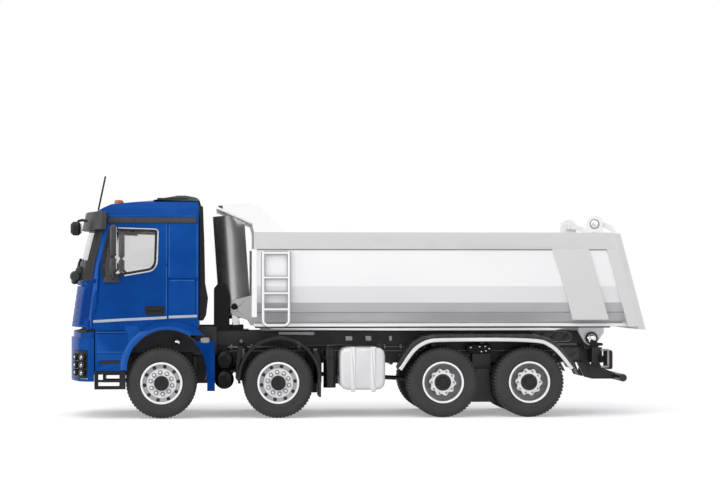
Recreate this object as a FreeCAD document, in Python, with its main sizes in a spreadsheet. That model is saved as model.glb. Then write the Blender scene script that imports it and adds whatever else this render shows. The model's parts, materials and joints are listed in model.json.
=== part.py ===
"""A four-axle tipper lorry, as a 1:50 die-cast scale model, in millimetres.

+X points to the front, +Y to the left side and +Z up. The origin is on the ground, under the middle
of the model. Every size is a named cell of the sheet "dims", and each piece is bound to those cells.
"""
import FreeCAD, Part
import os
import re
from math import cos, radians, sin, sqrt

import Sketcher

Vector = FreeCAD.Vector

# ----------------------------------------------------------------------------- driving dimensions
# Each row: name of the cell, its value in millimetres (or degrees), what it measures.
DIMENSIONS = [
    # wheels and axles
    ("tyre_radius", 11.0, "outer radius of every tyre"),
    ("rim_radius", 6.45, "outer radius of the rim barrels, where the tyre sits"),
    ("rim_inside", 5.9, "inner radius of the rim barrels"),
    ("front_tyre_width", 6.3, "width of a single front tyre"),
    ("rear_tyre_width", 6.1, "width of each tyre of a twin pair"),
    ("twin_gap", 0.4, "space between the two tyres of a twin pair"),
    ("tyre_face", 24.2, "outer faces of the tyres, from the middle"),
    ("shoulder", 1.1, "chamfer of the tyre shoulders"),
    ("axle_a", 61.05, "first axle, steered"),
    ("axle_b", 24.8, "second axle, steered"),
    ("axle_c", -26.75, "third axle, driven"),
    ("axle_d", -53.95, "fourth axle, driven"),
    ("disc", 0.8, "thickness of the wheel discs"),
    ("hand_hole", 0.5, "radius of the ten holes of a front wheel disc"),
    ("hand_hole_circle", 5.2, "radius of the circle those holes lie on"),
    ("running_fit", 0.06, "radial clearance of the turning shafts"),
    ("stub_radius", 0.9, "stub axles of the steered wheels"),
    ("shaft_radius", 1.0, "steel axle shafts of the driven wheels"),
    ("hub_radius", 1.96, "hub caps of the steered wheels"),
    ("rear_hub_radius", 2.6, "hub caps of the driven wheels"),
    # steering
    ("kingpin_y", 19.0, "kingpins, from the middle"),
    ("kingpin_radius", 0.5, "kingpins"),
    ("beam_width", 2.6, "front axle beams, along the model"),
    ("beam_height", 2.4, "front axle beams, upright"),
    ("fork", 0.8, "plates of the knuckle forks"),
    ("fork_gap", 0.15, "space between a fork plate and the beam"),
    ("arm_back", 6.0, "steering arms, behind the kingpins"),
    ("arm_y", 16.2, "track rod joints, from the middle"),
    ("arm_slot", 0.45, "play of a track rod joint, towards the middle"),
    ("arm_play", 0.13, "clearance round a track rod joint in its slot"),
    ("track_rod_radius", 0.5, "track rods"),
    ("joint_radius", 0.4, "upright pins at the ends of the track rods"),
    # chassis
    ("rail_y", 8.5, "outer faces of the frame rails, from the middle"),
    ("rail_web", 0.8, "thickness of the rails' webs and flanges"),
    ("rail_flange", 2.6, "width of the rails' flanges"),
    ("rail_low", 16.6, "underside of the frame rails"),
    ("rail_top", 21.6, "top of the frame rails"),
    ("rail_front", 84.0, "front end of the frame rails"),
    ("rail_rear", -75.2, "rear end of the frame rails"),
    ("sub_rail_width", 2.2, "width of the subframe's rails"),
    ("subframe_top", 26.8, "top of the tipper's subframe"),
    ("subframe_front", 46.0, "front end of the subframe"),
    ("subframe_rear", -71.8, "rear end of the subframe"),
    ("seat_gap", 0.1, "space between pieces that rest on each other when the body is down"),
    ("leaf_thick", 0.7, "thickness of one spring leaf"),
    ("leaf_width", 2.0, "width of the spring leaves"),
    ("casing_radius", 1.7, "radius of the driven axles' casings"),
    ("engine_front", 80.0, "front of the engine block"),
    ("engine_rear", 60.0, "rear of the engine block"),
    ("engine_top", 26.5, "top of the engine block"),
    ("engine_low", 13.5, "sump of the engine block"),
    ("body_half", 25.0, "outer faces of cab, steps and mudguards, from the middle"),
    ("front_x", 90.2, "foremost point of the cab and bumper"),
    # cab
    ("bumper_rear", 81.8, "rear ends of the bumper's corners"),
    ("cab_wall", 0.8, "thickness of the cab's cast wall"),
    ("cab_low", 27.9, "lower edge of the cab's front panel"),
    ("sill", 27.4, "lower edge of the doors"),
    ("cab_tail", 25.9, "lower edge of the cab behind the wheel arch"),
    ("belt", 47.4, "height where the windscreen starts to lean back and the sides to lean in"),
    ("roof_top", 68.0, "highest line of the roof"),
    ("cab_rear", 49.6, "rear wall of the cab"),
    ("bow_radius", 70.0, "radius of the cab's bowed front, seen from above"),
    ("corner_radius", 6.0, "radius of the cab's front corners, seen from above"),
    ("floor_low", 30.8, "underside of the cab floor"),
    ("floor_thick", 0.8, "thickness of the cab floor"),
    ("cab_pivot_x", 84.5, "tilt axis of the cab"),
    ("cab_pivot_z", 22.0, "height of the cab's tilt axis"),
    ("cab_pivot_radius", 1.0, "shaft of the cab's tilt axis"),
    ("arch_x", 59.25, "middle of the front wheel arch"),
    ("arch_z", 15.3, "height of the middle of the front wheel arch"),
    ("arch_radius", 12.4, "inner radius of the front wheel arch"),
    ("flare_x", 58.6, "middle of the flare round the front wheel arch"),
    ("flare_radius", 15.1, "outer radius of that flare"),
    ("flare_out", 0.6, "how far the flare stands out from the door"),
    # tipper body
    ("tub_half", 25.0, "outer faces of the load box, from the middle"),
    ("tub_wall", 0.9, "thickness of the load box walls"),
    ("tub_low", 28.5, "underside of the load box floor"),
    ("tub_top", 57.9, "top of the load box rail"),
    ("tub_rail_low", 52.7, "underside of the load box rail"),
    ("tub_front", 32.4, "front wall of the load box"),
    ("tub_rear_top", -80.2, "rear edge of the load box at its top"),
    ("tub_rear_low", -88.0, "rear edge of the load box at its floor"),
    ("gate_thick", 2.1, "thickness of the tailgate, along the model"),
    ("gate_gap", 0.15, "space between the tailgate and the load box"),
    ("gate_hinge_x", -74.34, "tailgate hinge"),
    ("gate_hinge_z", 60.6, "height of the tailgate hinge"),
    ("gate_pin_radius", 0.6, "pins of the tailgate hinge"),
    ("canopy_top", 66.8, "top of the canopy over the cylinder"),
    ("canopy_front", 44.1, "front lip of the canopy"),
    ("tip_x", -75.15, "axis on which the load box tips"),
    ("tip_z", 24.5, "height of that axis"),
    ("tip_pin_radius", 1.2, "pin on which the load box tips"),
    # tipping cylinder
    ("cover_space", 0.72, "space between the cylinder's cover and the front wall of the load box"),
    ("trunnion_space", 0.65, "space between the cylinder's cover and the plates beside it"),
    ("trunnion_z", 33.95, "height of the trunnions"),
    ("trunnion_radius", 1.0, "trunnions"),
    ("cylinder_lean", 4.0, "degrees that the cylinder leans forward"),
    ("cover_radius", 5.05, "outer radius of the cylinder's cover tube"),
    ("stage_wall", 0.6, "wall of each telescopic tube"),
    ("stage_gap", 0.08, "radial clearance between telescopic tubes"),
    ("cover_up", 29.8, "top of the cover above the trunnions, along the cylinder"),
    ("cover_down", 2.0, "lower end of the cover below the trunnions"),
    ("foot_down", 5.5, "foot pin below the trunnions, along the cylinder"),
]

doc = FreeCAD.newDocument("tipper_lorry")
sheet = doc.addObject("Spreadsheet::Sheet", "dims")
for row, (name, value, note) in enumerate(DIMENSIONS, start=1):
    sheet.set(f"A{row}", note)
    sheet.set(f"B{row}", str(value))
    sheet.setAlias(f"B{row}", name)
doc.recompute()

NAMES = {name for name, value, note in DIMENSIONS}
WORD = re.compile(r"[a-z][a-z_]*")


def formula(text):
    """Point each dimension name in text at its cell of the sheet."""
    return WORD.sub(lambda word: "dims." + word.group(0) if word.group(0) in NAMES else word.group(0),
                    str(text))


def bind(item, prop, text):
    """Tie one property of item to a formula of dimension names."""
    item.setExpression(prop, formula(text))


# ------------------------------------------------------------------------------ building blocks
def box(name, x, y, z):
    """A block between the two formulas of each of x, y and z."""
    item = doc.addObject("Part::Box", name)
    for size, place, (low, high) in (("Length", "x", x), ("Width", "y", y), ("Height", "z", z)):
        bind(item, size, f"({high}) - ({low})")
        bind(item, f"Placement.Base.{place}", low)
    return item


TURNS = {
    "x": FreeCAD.Rotation(Vector(0, 1, 0), 90),
    "y": FreeCAD.Rotation(Vector(1, 0, 0), -90),
    "z": FreeCAD.Rotation(),
}


def rod(name, axis, x, y, z, radius):
    """A cylinder along axis, whose own coordinate is a pair of formulas and the others one each."""
    item = doc.addObject("Part::Cylinder", name)
    item.Placement = FreeCAD.Placement(Vector(), TURNS[axis])
    bind(item, "Radius", radius)
    for place, value in (("x", x), ("y", y), ("z", z)):
        if place == axis:
            bind(item, "Height", f"({value[1]}) - ({value[0]})")
            value = value[0]
        bind(item, f"Placement.Base.{place}", value)
    return item


def strut(name, start, end, radius, y="0"):
    """A leaning cylinder at one y between two points, each given as formulas for x and z."""
    along = f"(({end[0]}) - ({start[0]}))"
    rise = f"(({end[1]}) - ({start[1]}))"
    item = doc.addObject("Part::Cylinder", name)
    item.Placement = FreeCAD.Placement(Vector(), TURNS["x"])
    bind(item, "Radius", radius)
    bind(item, "Height", f"sqrt({along} ^ 2 + {rise} ^ 2)")
    bind(item, "Placement.Base.x", start[0])
    bind(item, "Placement.Base.y", y)
    bind(item, "Placement.Base.z", start[1])
    bind(item, "Placement.Rotation.Angle", f"90 deg - atan({rise} / {along})")
    return item


SKETCH_TURNS = {
    "xz": FreeCAD.Rotation(Vector(1, 0, 0), 90),
    "yz": FreeCAD.Rotation(Vector(1, 1, 1), 120),
    "xy": FreeCAD.Rotation(),
}


def outline(name, plane, points):
    """A closed sketch of straight edges, with two formulas for each corner."""
    sketch = doc.addObject("Sketcher::SketchObject", name)
    sketch.Placement = FreeCAD.Placement(Vector(), SKETCH_TURNS[plane])
    pin_corners(sketch, points)
    return sketch


def pin_corners(sketch, points):
    """Draw the closed polygon of points in sketch and tie each corner to its two formulas."""
    count = len(points)
    ring = [Vector(cos(6.283 * i / count), sin(6.283 * i / count), 0) * 40 for i in range(count)]
    for i in range(count):
        sketch.addGeometry(Part.LineSegment(ring[i], ring[(i + 1) % count]), False)
    for i in range(count):
        sketch.addConstraint(Sketcher.Constraint("Coincident", i, 2, (i + 1) % count, 1))
    for i, (across, up) in enumerate(points):
        place = sketch.addConstraint(Sketcher.Constraint("DistanceX", -1, 1, i, 1, ring[i].x))
        bind(sketch, f"Constraints[{place}]", across)
        place = sketch.addConstraint(Sketcher.Constraint("DistanceY", -1, 1, i, 1, ring[i].y))
        bind(sketch, f"Constraints[{place}]", up)


EXTRUDE_DIRECTIONS = {"xz": ("y", Vector(0, 1, 0)), "yz": ("x", Vector(1, 0, 0)),
                      "xy": ("z", Vector(0, 0, 1))}


def prism(name, plane, points, low, high):
    """The outline of points on plane, drawn out from low to high across it."""
    sketch = outline(name + "_outline", plane, points)
    place, direction = EXTRUDE_DIRECTIONS[plane]
    bind(sketch, f"Placement.Base.{place}", low)
    item = doc.addObject("Part::Extrusion", name)
    item.Base = sketch
    item.DirMode = "Custom"
    item.Dir = direction
    item.Solid = True
    bind(item, "LengthFwd", f"({high}) - ({low})")
    return item


def cut(name, base, *tools):
    """base without the tools."""
    item = doc.addObject("Part::Cut", name)
    item.Base = base
    item.Tool = tools[0] if len(tools) == 1 else fuse(name + "_tools", *tools)
    return item


def common(name, base, tool):
    """What base and tool share."""
    item = doc.addObject("Part::Common", name)
    item.Base = base
    item.Tool = tool
    return item


def fuse(name, *shapes):
    """One solid of several that touch or overlap."""
    item = doc.addObject("Part::MultiFuse", name)
    item.Shapes = list(shapes)
    item.Refine = True
    return item


def mirrored(item):
    """The same piece on the other side of the model."""
    twin = doc.addObject("Part::Mirroring", item.Name + "_right")
    twin.Source = item
    twin.Normal = Vector(0, 1, 0)
    return twin


def group(name, *shapes):
    """Separate solids that make one named piece."""
    item = doc.addObject("Part::Compound", name)
    item.Links = list(shapes)
    return item


def both_sides(name, item):
    """A left piece and its mirror image, as one named piece."""
    return group(name, item, mirrored(item))


PARTS = []


def part(item, label=None):
    """Note item as a piece of the model, exported under its label."""
    item.Label = label or item.Name
    PARTS.append(item)
    return item


def dim(name):
    """The value of one cell, for places that are worked out here."""
    return float(sheet.get(name))


# ---------------------------------------------------------------------------------------- wheels
def wheel_body(label, x, y, turned):
    """An empty body on a wheel's axis, at half-track y; a right wheel is turned round."""
    body = doc.addObject("PartDesign::Body", label)
    turn = FreeCAD.Rotation(Vector(0, 0, 1), 180 if turned else 0)
    body.Placement = FreeCAD.Placement(Vector(), turn)
    bind(body, "Placement.Base.x", x)
    bind(body, "Placement.Base.y", y)
    bind(body, "Placement.Base.z", "tyre_radius")
    return body


def body_sketch(body, role, name):
    """A sketch on one of the body's own origin planes."""
    plane = [item for item in body.Origin.OriginFeatures if item.Role == role][0]
    sketch = body.newObject("Sketcher::SketchObject", name)
    sketch.AttachmentSupport = (plane, "")
    sketch.MapMode = "FlatFace"
    return sketch


def revolve(body, name, points):
    """Turn a profile of (radius, across) formulas about the body's own Y axis."""
    sketch = body_sketch(body, "XY_Plane", name + "_profile")
    pin_corners(sketch, points)
    turn = body.newObject("PartDesign::Revolution", name)
    turn.Profile = sketch
    turn.ReferenceAxis = (sketch, ["V_Axis"])
    turn.Angle = 360
    body.Tip = turn
    return turn


def tyre_profile(low, high):
    """The section of a tyre between two planes across its axis."""
    return [
        ("rim_radius", low), ("tyre_radius - 2 * shoulder", low), ("tyre_radius", f"{low} + shoulder"),
        ("tyre_radius", f"{high} - shoulder"), ("tyre_radius - 2 * shoulder", high), ("rim_radius", high),
    ]


def front_tyre(label, x, side):
    """One steered wheel's tyre; its body's origin is on the wheel's outer face."""
    body = wheel_body(label, x, f"{side} * tyre_face", side < 0)
    revolve(body, label + "_tread", tyre_profile("-front_tyre_width", "0"))
    return part(body)


def front_rim(label, x, side):
    """One steered wheel's rim: barrel, disc with ten holes and bored hub with its cap."""
    body = wheel_body(label, x, f"{side} * tyre_face", side < 0)
    bore = "stub_radius + running_fit"
    revolve(body, label + "_section", [
        (bore, "-2.7"), ("hub_radius + 0.6", "-2.7"), ("hub_radius + 0.6", "-0.7 - disc"),
        ("rim_inside", "-0.7 - disc"), ("rim_inside", "-front_tyre_width"),
        ("rim_radius", "-front_tyre_width"), ("rim_radius", "0"), ("rim_inside", "0"),
        ("rim_inside", "-0.7"), ("hub_radius", "-0.7"), ("hub_radius", "0.6"), ("hub_radius - 0.4", "0.9"),
        ("0", "0.9"), ("0", "0.2"), (bore, "0.2"),
    ])
    sketch = body_sketch(body, "XZ_Plane", label + "_hole_sketch")
    sketch.addGeometry(Part.Circle(Vector(5, 0, 0), Vector(0, 0, 1), 0.5), False)
    sketch.addConstraint(Sketcher.Constraint("PointOnObject", 0, 3, -1))
    place = sketch.addConstraint(Sketcher.Constraint("DistanceX", -1, 1, 0, 3, 5))
    bind(sketch, f"Constraints[{place}]", "hand_hole_circle")
    place = sketch.addConstraint(Sketcher.Constraint("Radius", 0, 0.5))
    bind(sketch, f"Constraints[{place}]", "hand_hole")
    hole = body.newObject("PartDesign::Pocket", label + "_hole")
    hole.Profile = sketch
    hole.Type = "Length"
    hole.Midplane = True
    bind(hole, "Length", "2 * (front_tyre_width - 0.5)")
    ring = body.newObject("PartDesign::PolarPattern", label + "_holes")
    ring.Originals = [hole]
    ring.Axis = (sketch, ["N_Axis"])
    ring.Angle = 360
    ring.Occurrences = 10
    body.Tip = ring
    return part(body)


SIDES = {"left": 1, "right": -1}
STEERED = {"first": "axle_a", "second": "axle_b"}
DRIVEN = {"third": "axle_c", "fourth": "axle_d"}

for order, axle in STEERED.items():
    for side, sign in SIDES.items():
        front_tyre(f"tyre_{order}_{side}", axle, sign)
        front_rim(f"rim_{order}_{side}", axle, sign)


def driven_tyres(order, x):
    """The four tyres of a driven axle, twin pairs at both ends."""
    pair = []
    for place, outer in (("outer", "tyre_face"), ("inner", "tyre_face - rear_tyre_width - twin_gap")):
        body = wheel_body(f"tyre_{order}_{place}", x, "0", False)
        profile = tyre_profile(f"{outer} - rear_tyre_width", outer)
        revolve(body, f"tread_{order}_{place}", profile)
        pair.append(body)
    inner_face = group(f"pair_{order}", *pair)
    return part(both_sides(f"tyres_{order}", inner_face))


def driven_wheels(order, x):
    """A driven axle's steel shaft with its two twin rims, discs and hubs, as one turning piece."""
    body = wheel_body(f"wheels_{order}", x, "0", False)
    face = "(tyre_face)"
    back = "(tyre_face - 2 * rear_tyre_width - twin_gap)"
    web = "(tyre_face - 4.4)"
    revolve(body, f"wheels_{order}_section", [
        ("0", "0"), ("shaft_radius", "0"), ("shaft_radius", f"{web} - disc"),
        ("rim_inside", f"{web} - disc"), ("rim_inside", back), ("rim_radius", back),
        ("rim_radius", face), ("rim_inside", face), ("rim_inside", web), ("rear_hub_radius", web),
        ("rear_hub_radius", f"{face} - 1.2"), ("rear_hub_radius - 0.5", f"{face} - 0.8"),
        ("0", f"{face} - 0.8"),
    ])
    return part(both_joined_halves(f"rims_{order}", body))


def both_joined_halves(name, half):
    """A left half and its mirror image, joined at the middle plane."""
    return fuse(name, half, mirrored(half))


for order, axle in DRIVEN.items():
    driven_tyres(order, axle)
    driven_wheels(order, axle)


# ------------------------------------------------------------------------------------- steering
def front_beam(name, x):
    """A front axle beam with an upright bore for the kingpin at each end."""
    low = "tyre_radius - beam_height / 2"
    high = "tyre_radius + beam_height / 2"
    bar = box(name + "_bar", (f"{x} - beam_width / 2", f"{x} + beam_width / 2"),
              ("-kingpin_y", "kingpin_y"), (low, high))
    eye = rod(name + "_eye", "z", x, "kingpin_y", (low, high), "beam_width / 2")
    bore = rod(name + "_bore", "z", x, "kingpin_y", (f"{low} - 1", f"{high} + 1"),
               "kingpin_radius + running_fit")
    return cut(name, fuse(name + "_solid", bar, eye, mirrored(eye)),
               group(name + "_bores", bore, mirrored(bore)))


def knuckle(label, x, side):
    """A steering knuckle: fork round the beam, kingpin, stub axle and steering arm."""
    top = "tyre_radius + beam_height / 2 + fork_gap"
    low = "tyre_radius - beam_height / 2 - fork_gap"
    outer = "kingpin_y + beam_width / 2 + fork_gap"
    half = "beam_width / 2"
    pieces = [
        box(label + "_top", (f"{x} - {half}", f"{x} + {half}"), (f"kingpin_y - {half}", f"{outer} + fork"),
            (top, f"{top} + fork")),
        box(label + "_low", (f"{x} - {half}", f"{x} + {half}"), ("arm_y - arm_slot - 0.9", f"{outer} + fork"),
            (f"{low} - fork", low)),
        box(label + "_side", (f"{x} - {half}", f"{x} + {half}"), (outer, f"{outer} + fork"),
            (f"{low} - fork", f"{top} + fork")),
        rod(label + "_kingpin", "z", x, "kingpin_y", (f"{low} - fork / 2", f"{top} + fork / 2"),
            "kingpin_radius"),
        rod(label + "_stub", "y", x, (f"{outer} + fork / 2", "tyre_face"), "tyre_radius", "stub_radius"),
        box(label + "_arm", (f"{x} - arm_back - 1.1", x), ("arm_y - arm_slot - 0.9", "arm_y + 0.8"),
            (f"{low} - fork", low)),
    ]
    deep = (f"{low} - fork - 1", f"{low} + 1")
    play = "joint_radius + arm_play"
    back = f"({x} - arm_back)"
    slot = fuse(
        label + "_slot",
        rod(label + "_slot_outer", "z", back, "arm_y", deep, play),
        rod(label + "_slot_inner", "z", back, "arm_y - arm_slot", deep, play),
        box(label + "_slot_middle", (f"{back} - {play}", f"{back} + {play}"), ("arm_y - arm_slot", "arm_y"),
            deep),
    )
    left = cut(label + "_left", fuse(label + "_solid", *pieces), slot)
    return part(left if side > 0 else mirrored(left), label)


def track_rod(label, x):
    """The rod between the two steering arms, with an upright joint pin at each end."""
    arm_low = "tyre_radius - beam_height / 2 - fork_gap - fork"
    centre = f"{arm_low} - 0.15 - track_rod_radius"
    bar = rod(label + "_bar", "y", f"{x} - arm_back", ("-arm_y - 0.6", "arm_y + 0.6"), centre,
              "track_rod_radius")
    joint = rod(label + "_pin", "z", f"{x} - arm_back", "arm_y", (centre, f"{arm_low} + fork"),
                "joint_radius")
    return part(fuse(label, bar, joint, mirrored(joint)))


part(group("front_axle_beams", front_beam("beam_first", "axle_a"), front_beam("beam_second", "axle_b")))
for order, axle in STEERED.items():
    for side, sign in SIDES.items():
        knuckle(f"knuckle_{order}_{side}", axle, sign)
    track_rod(f"track_rod_{order}", axle)


# --------------------------------------------------------------------------------------- chassis
def channel_rail(name):
    """The left frame rail, a channel open towards the middle, drawn along X."""
    return prism(name, "yz", [
        ("rail_y", "rail_low"), ("rail_y", "rail_top"), ("rail_y - rail_flange", "rail_top"),
        ("rail_y - rail_flange", "rail_top - rail_web"), ("rail_y - rail_web", "rail_top - rail_web"),
        ("rail_y - rail_web", "rail_low + rail_web"), ("rail_y - rail_flange", "rail_low + rail_web"),
        ("rail_y - rail_flange", "rail_low"),
    ], "rail_rear", "rail_front")


BETWEEN_WEBS = ("-rail_y + rail_web", "rail_y - rail_web")
BETWEEN_FLANGES = ("rail_low + rail_web", "rail_top - rail_web")
CROSSMEMBERS = ["subframe_front - 1", "5", "-10", "(axle_c + axle_d) / 2", "rail_rear + 3"]
rail = channel_rail("rail_left")
members = [
    box(f"crossmember_{i}", (f"{x} - 1", f"{x} + 1"), BETWEEN_WEBS, BETWEEN_FLANGES)
    for i, x in enumerate(CROSSMEMBERS)
]
members.append(box("engine_mount", ("engine_rear - 2", "engine_rear"), BETWEEN_WEBS, BETWEEN_FLANGES))
members.append(box("nose_member", ("engine_front", "rail_front"), BETWEEN_WEBS, BETWEEN_FLANGES))
pivot_plate = box("cab_pivot_plate", ("cab_pivot_x - 2", "cab_pivot_x + 1.2"),
                  ("rail_y - rail_web", "rail_y + 1.2"), ("rail_low + 1", "cab_pivot_z + 1.2"))
pivot_shaft = rod("cab_pivot_shaft", "y", "cab_pivot_x", ("-rail_y - 5", "rail_y + 5"), "cab_pivot_z",
                  "cab_pivot_radius")
part(fuse("frame_rails", rail, mirrored(rail), *members, pivot_plate, mirrored(pivot_plate), pivot_shaft))

sub_rail = box("subframe_rail", ("subframe_rear", "subframe_front"),
               ("rail_y - 0.1 - sub_rail_width", "rail_y - 0.1"), ("rail_top", "subframe_top"))
SUB_MEMBERS = ["subframe_front - 3", "8", "-20", "(axle_c + axle_d) / 2", "subframe_rear + 3"]
sub_members = [
    box(f"subframe_member_{i}", (f"{x} - 1.2", f"{x} + 1.2"),
        ("-rail_y + sub_rail_width", "rail_y - sub_rail_width"), ("rail_top + 1", "subframe_top - 0.6"))
    for i, x in enumerate(SUB_MEMBERS)
]
part(fuse("subframe", sub_rail, mirrored(sub_rail), *sub_members))

engine_half = "(rail_y - rail_flange - 0.3)"
part(box("engine_block", ("engine_rear", "engine_front"), (f"-{engine_half}", engine_half),
         ("engine_low", "engine_top")))


SPRING_ACROSS = ("rail_y + 0.7", "rail_y + 0.7 + leaf_width")
HANGER_ACROSS = ("rail_y", SPRING_ACROSS[1])


def leaf_pack(name, x, half, low, leaves, hanger):
    """Stacked leaves on a front axle beam, with a hanger from the rail at both ends."""
    pieces = []
    for i in range(leaves):
        reach = f"({half} - {2.6 * (leaves - 1 - i)})"
        pieces.append(box(f"{name}_leaf_{i}", (f"{x} - {reach}", f"{x} + {reach}"), SPRING_ACROSS,
                          (f"{low} + {i} * leaf_thick", f"{low} + {i + 1} * leaf_thick")))
    for end in (-1, 1):
        edge = f"{x} + {end} * ({half} - {hanger} / 2)"
        pieces.append(box(f"{name}_hanger_{'rear' if end < 0 else 'front'}",
                          (f"{edge} - {hanger} / 2", f"{edge} + {hanger} / 2"), HANGER_ACROSS,
                          (f"{low} + {leaves - 1} * leaf_thick", "rail_low + 2.5")))
    return fuse(name, *pieces)


beam_top = "tyre_radius + beam_height / 2"
spring_first = leaf_pack("spring_first", "axle_a", "11", beam_top, 4, "1.4")
spring_second = leaf_pack("spring_second", "axle_b", "11", beam_top, 4, "1.4")
bogie_low = "tyre_radius + casing_radius"
bogie_mid = "(axle_c + axle_d) / 2"
bogie = fuse(
    "spring_bogie",
    box("bogie_leaves", ("axle_d - 2", "axle_c + 2"), SPRING_ACROSS,
        (bogie_low, f"{bogie_low} + 2 * leaf_thick")),
    box("bogie_pack", (f"{bogie_mid} - 9", f"{bogie_mid} + 9"), SPRING_ACROSS,
        (f"{bogie_low} + 2 * leaf_thick", f"{bogie_low} + 4 * leaf_thick")),
    box("bogie_bracket", (f"{bogie_mid} - 3", f"{bogie_mid} + 3"), HANGER_ACROSS,
        (f"{bogie_low} + 4 * leaf_thick", "rail_low + 3.5")),
)
springs = [spring_first, spring_second, bogie]
part(group("leaf_springs", *springs, *[mirrored(spring) for spring in springs]))


def rear_casing(name, x):
    """A driven axle's casing with its differential, bored for the shaft."""
    tube = rod(name + "_tube", "y", x, (f"-({SPRING_ACROSS[1]})", SPRING_ACROSS[1]), "tyre_radius",
               "casing_radius")
    drum = rod(name + "_drum", "y", x, ("-2.6", "2.6"), "tyre_radius", "3.6")
    nose = rod(name + "_nose", "x", (f"{x} + 2", f"{x} + 5"), "0", "tyre_radius", "1.5")
    bore = rod(name + "_bore", "y", x, ("-rail_y - 4", "rail_y + 4"), "tyre_radius",
               "shaft_radius + running_fit")
    return cut(name, fuse(name + "_solid", tube, drum, nose), bore)


casings = [rear_casing("casing_third", "axle_c"), rear_casing("casing_fourth", "axle_d")]
part(group("rear_axle_casings", *casings))
gearbox = box("gearbox", ("engine_rear - 14", "engine_rear - 2"), ("-3.2", "3.2"),
              ("tyre_radius - 1", "tyre_radius + 5.4"))
shaft_start = ("axle_c + 5.05", "tyre_radius")
shaft_long = strut("shaft_long", shaft_start, ("engine_rear - 13.5", "tyre_radius + 3.6"), "0.7")
shaft_short = rod("shaft_short", "x", ("axle_d + 5", "axle_c - 3.6"), "0", "tyre_radius", "0.8")
part(group("gearbox_and_shafts", fuse("gearbox_shaft", gearbox, shaft_long), shaft_short))


# ---------------------------------------------------------------------------- cab outline solids
WIDE = ("-body_half - 5", "body_half + 5")


def plan_sketch(name, front, half, inset):
    """The cab seen from above: bowed front, rounded corners, straight sides, open to the rear."""
    sketch = doc.addObject("Sketcher::SketchObject", name)
    thick = dim("cab_wall") * inset
    bow = dim("bow_radius") - thick
    corner = dim("corner_radius") - thick
    wide = dim(half) - thick
    nose = dim("front_x") - thick
    bow_x = nose - bow
    reach = sqrt((bow - corner) ** 2 - (wide - corner) ** 2)
    hub = Vector(bow_x + reach, wide - corner, 0)
    toward = Vector(reach, wide - corner, 0).normalize()
    touch = Vector(bow_x, 0, 0) + toward * bow
    side = Vector(hub.x, wide, 0)
    rear = 30.0

    def flip(point):
        return Vector(point.x, -point.y, 0)

    lean = Vector(cos(radians(68)), sin(radians(68)), 0)
    corners = [
        Part.LineSegment(Vector(rear, wide, 0), Vector(rear, -wide, 0)),
        Part.LineSegment(Vector(rear, -wide, 0), flip(side)),
        Part.Arc(flip(side), flip(hub + lean * corner), flip(touch)),
        Part.Arc(flip(touch), Vector(nose, 0, 0), touch),
        Part.Arc(touch, hub + lean * corner, side),
        Part.LineSegment(side, Vector(rear, wide, 0)),
    ]
    sketch.addGeometry(corners, False)
    for first in range(6):
        following = (first + 1) % 6
        kind = "Coincident" if first in (0, 5) else "Tangent"
        sketch.addConstraint(Sketcher.Constraint(kind, first, 2, following, 1))
    sketch.addConstraint(Sketcher.Constraint("Vertical", 0))
    sketch.addConstraint(Sketcher.Constraint("Horizontal", 1))
    sketch.addConstraint(Sketcher.Constraint("PointOnObject", 3, 3, -1))
    inset_text = f"{inset} * cab_wall"
    sizes = [
        (Sketcher.Constraint("Radius", 3, bow), f"bow_radius - {inset_text}"),
        (Sketcher.Constraint("Radius", 4, corner), f"corner_radius - {inset_text}"),
        (Sketcher.Constraint("Radius", 2, corner), f"corner_radius - {inset_text}"),
        (Sketcher.Constraint("DistanceX", -1, 1, 3, 3, bow_x), f"{front} - bow_radius"),
        (Sketcher.Constraint("DistanceX", -1, 1, 0, 1, rear), "30"),
        (Sketcher.Constraint("DistanceY", -1, 1, 0, 1, wide), f"{half} - {inset_text}"),
        (Sketcher.Constraint("DistanceY", -1, 1, 0, 2, -wide), f"-{half} + {inset_text}"),
    ]
    for constraint, text in sizes:
        place = sketch.addConstraint(constraint)
        bind(sketch, f"Constraints[{place}]", text)
    return sketch


def raised(name, sketch, low, high, shift="0"):
    """Draw a plan sketch up from low to high, leaning back by shift on the way."""
    bind(sketch, "Placement.Base.z", low)
    item = doc.addObject("Part::Extrusion", name)
    item.Base = sketch
    item.DirMode = "Custom"
    item.Dir = Vector(0, 0, 10)
    item.Solid = True
    bind(item, "Dir.x", f"-({shift})")
    bind(item, "Dir.z", f"({high}) - ({low})")
    return item


SCREEN_SLOPE = 0.248
FRONT_SLOPE = 0.14


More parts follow.
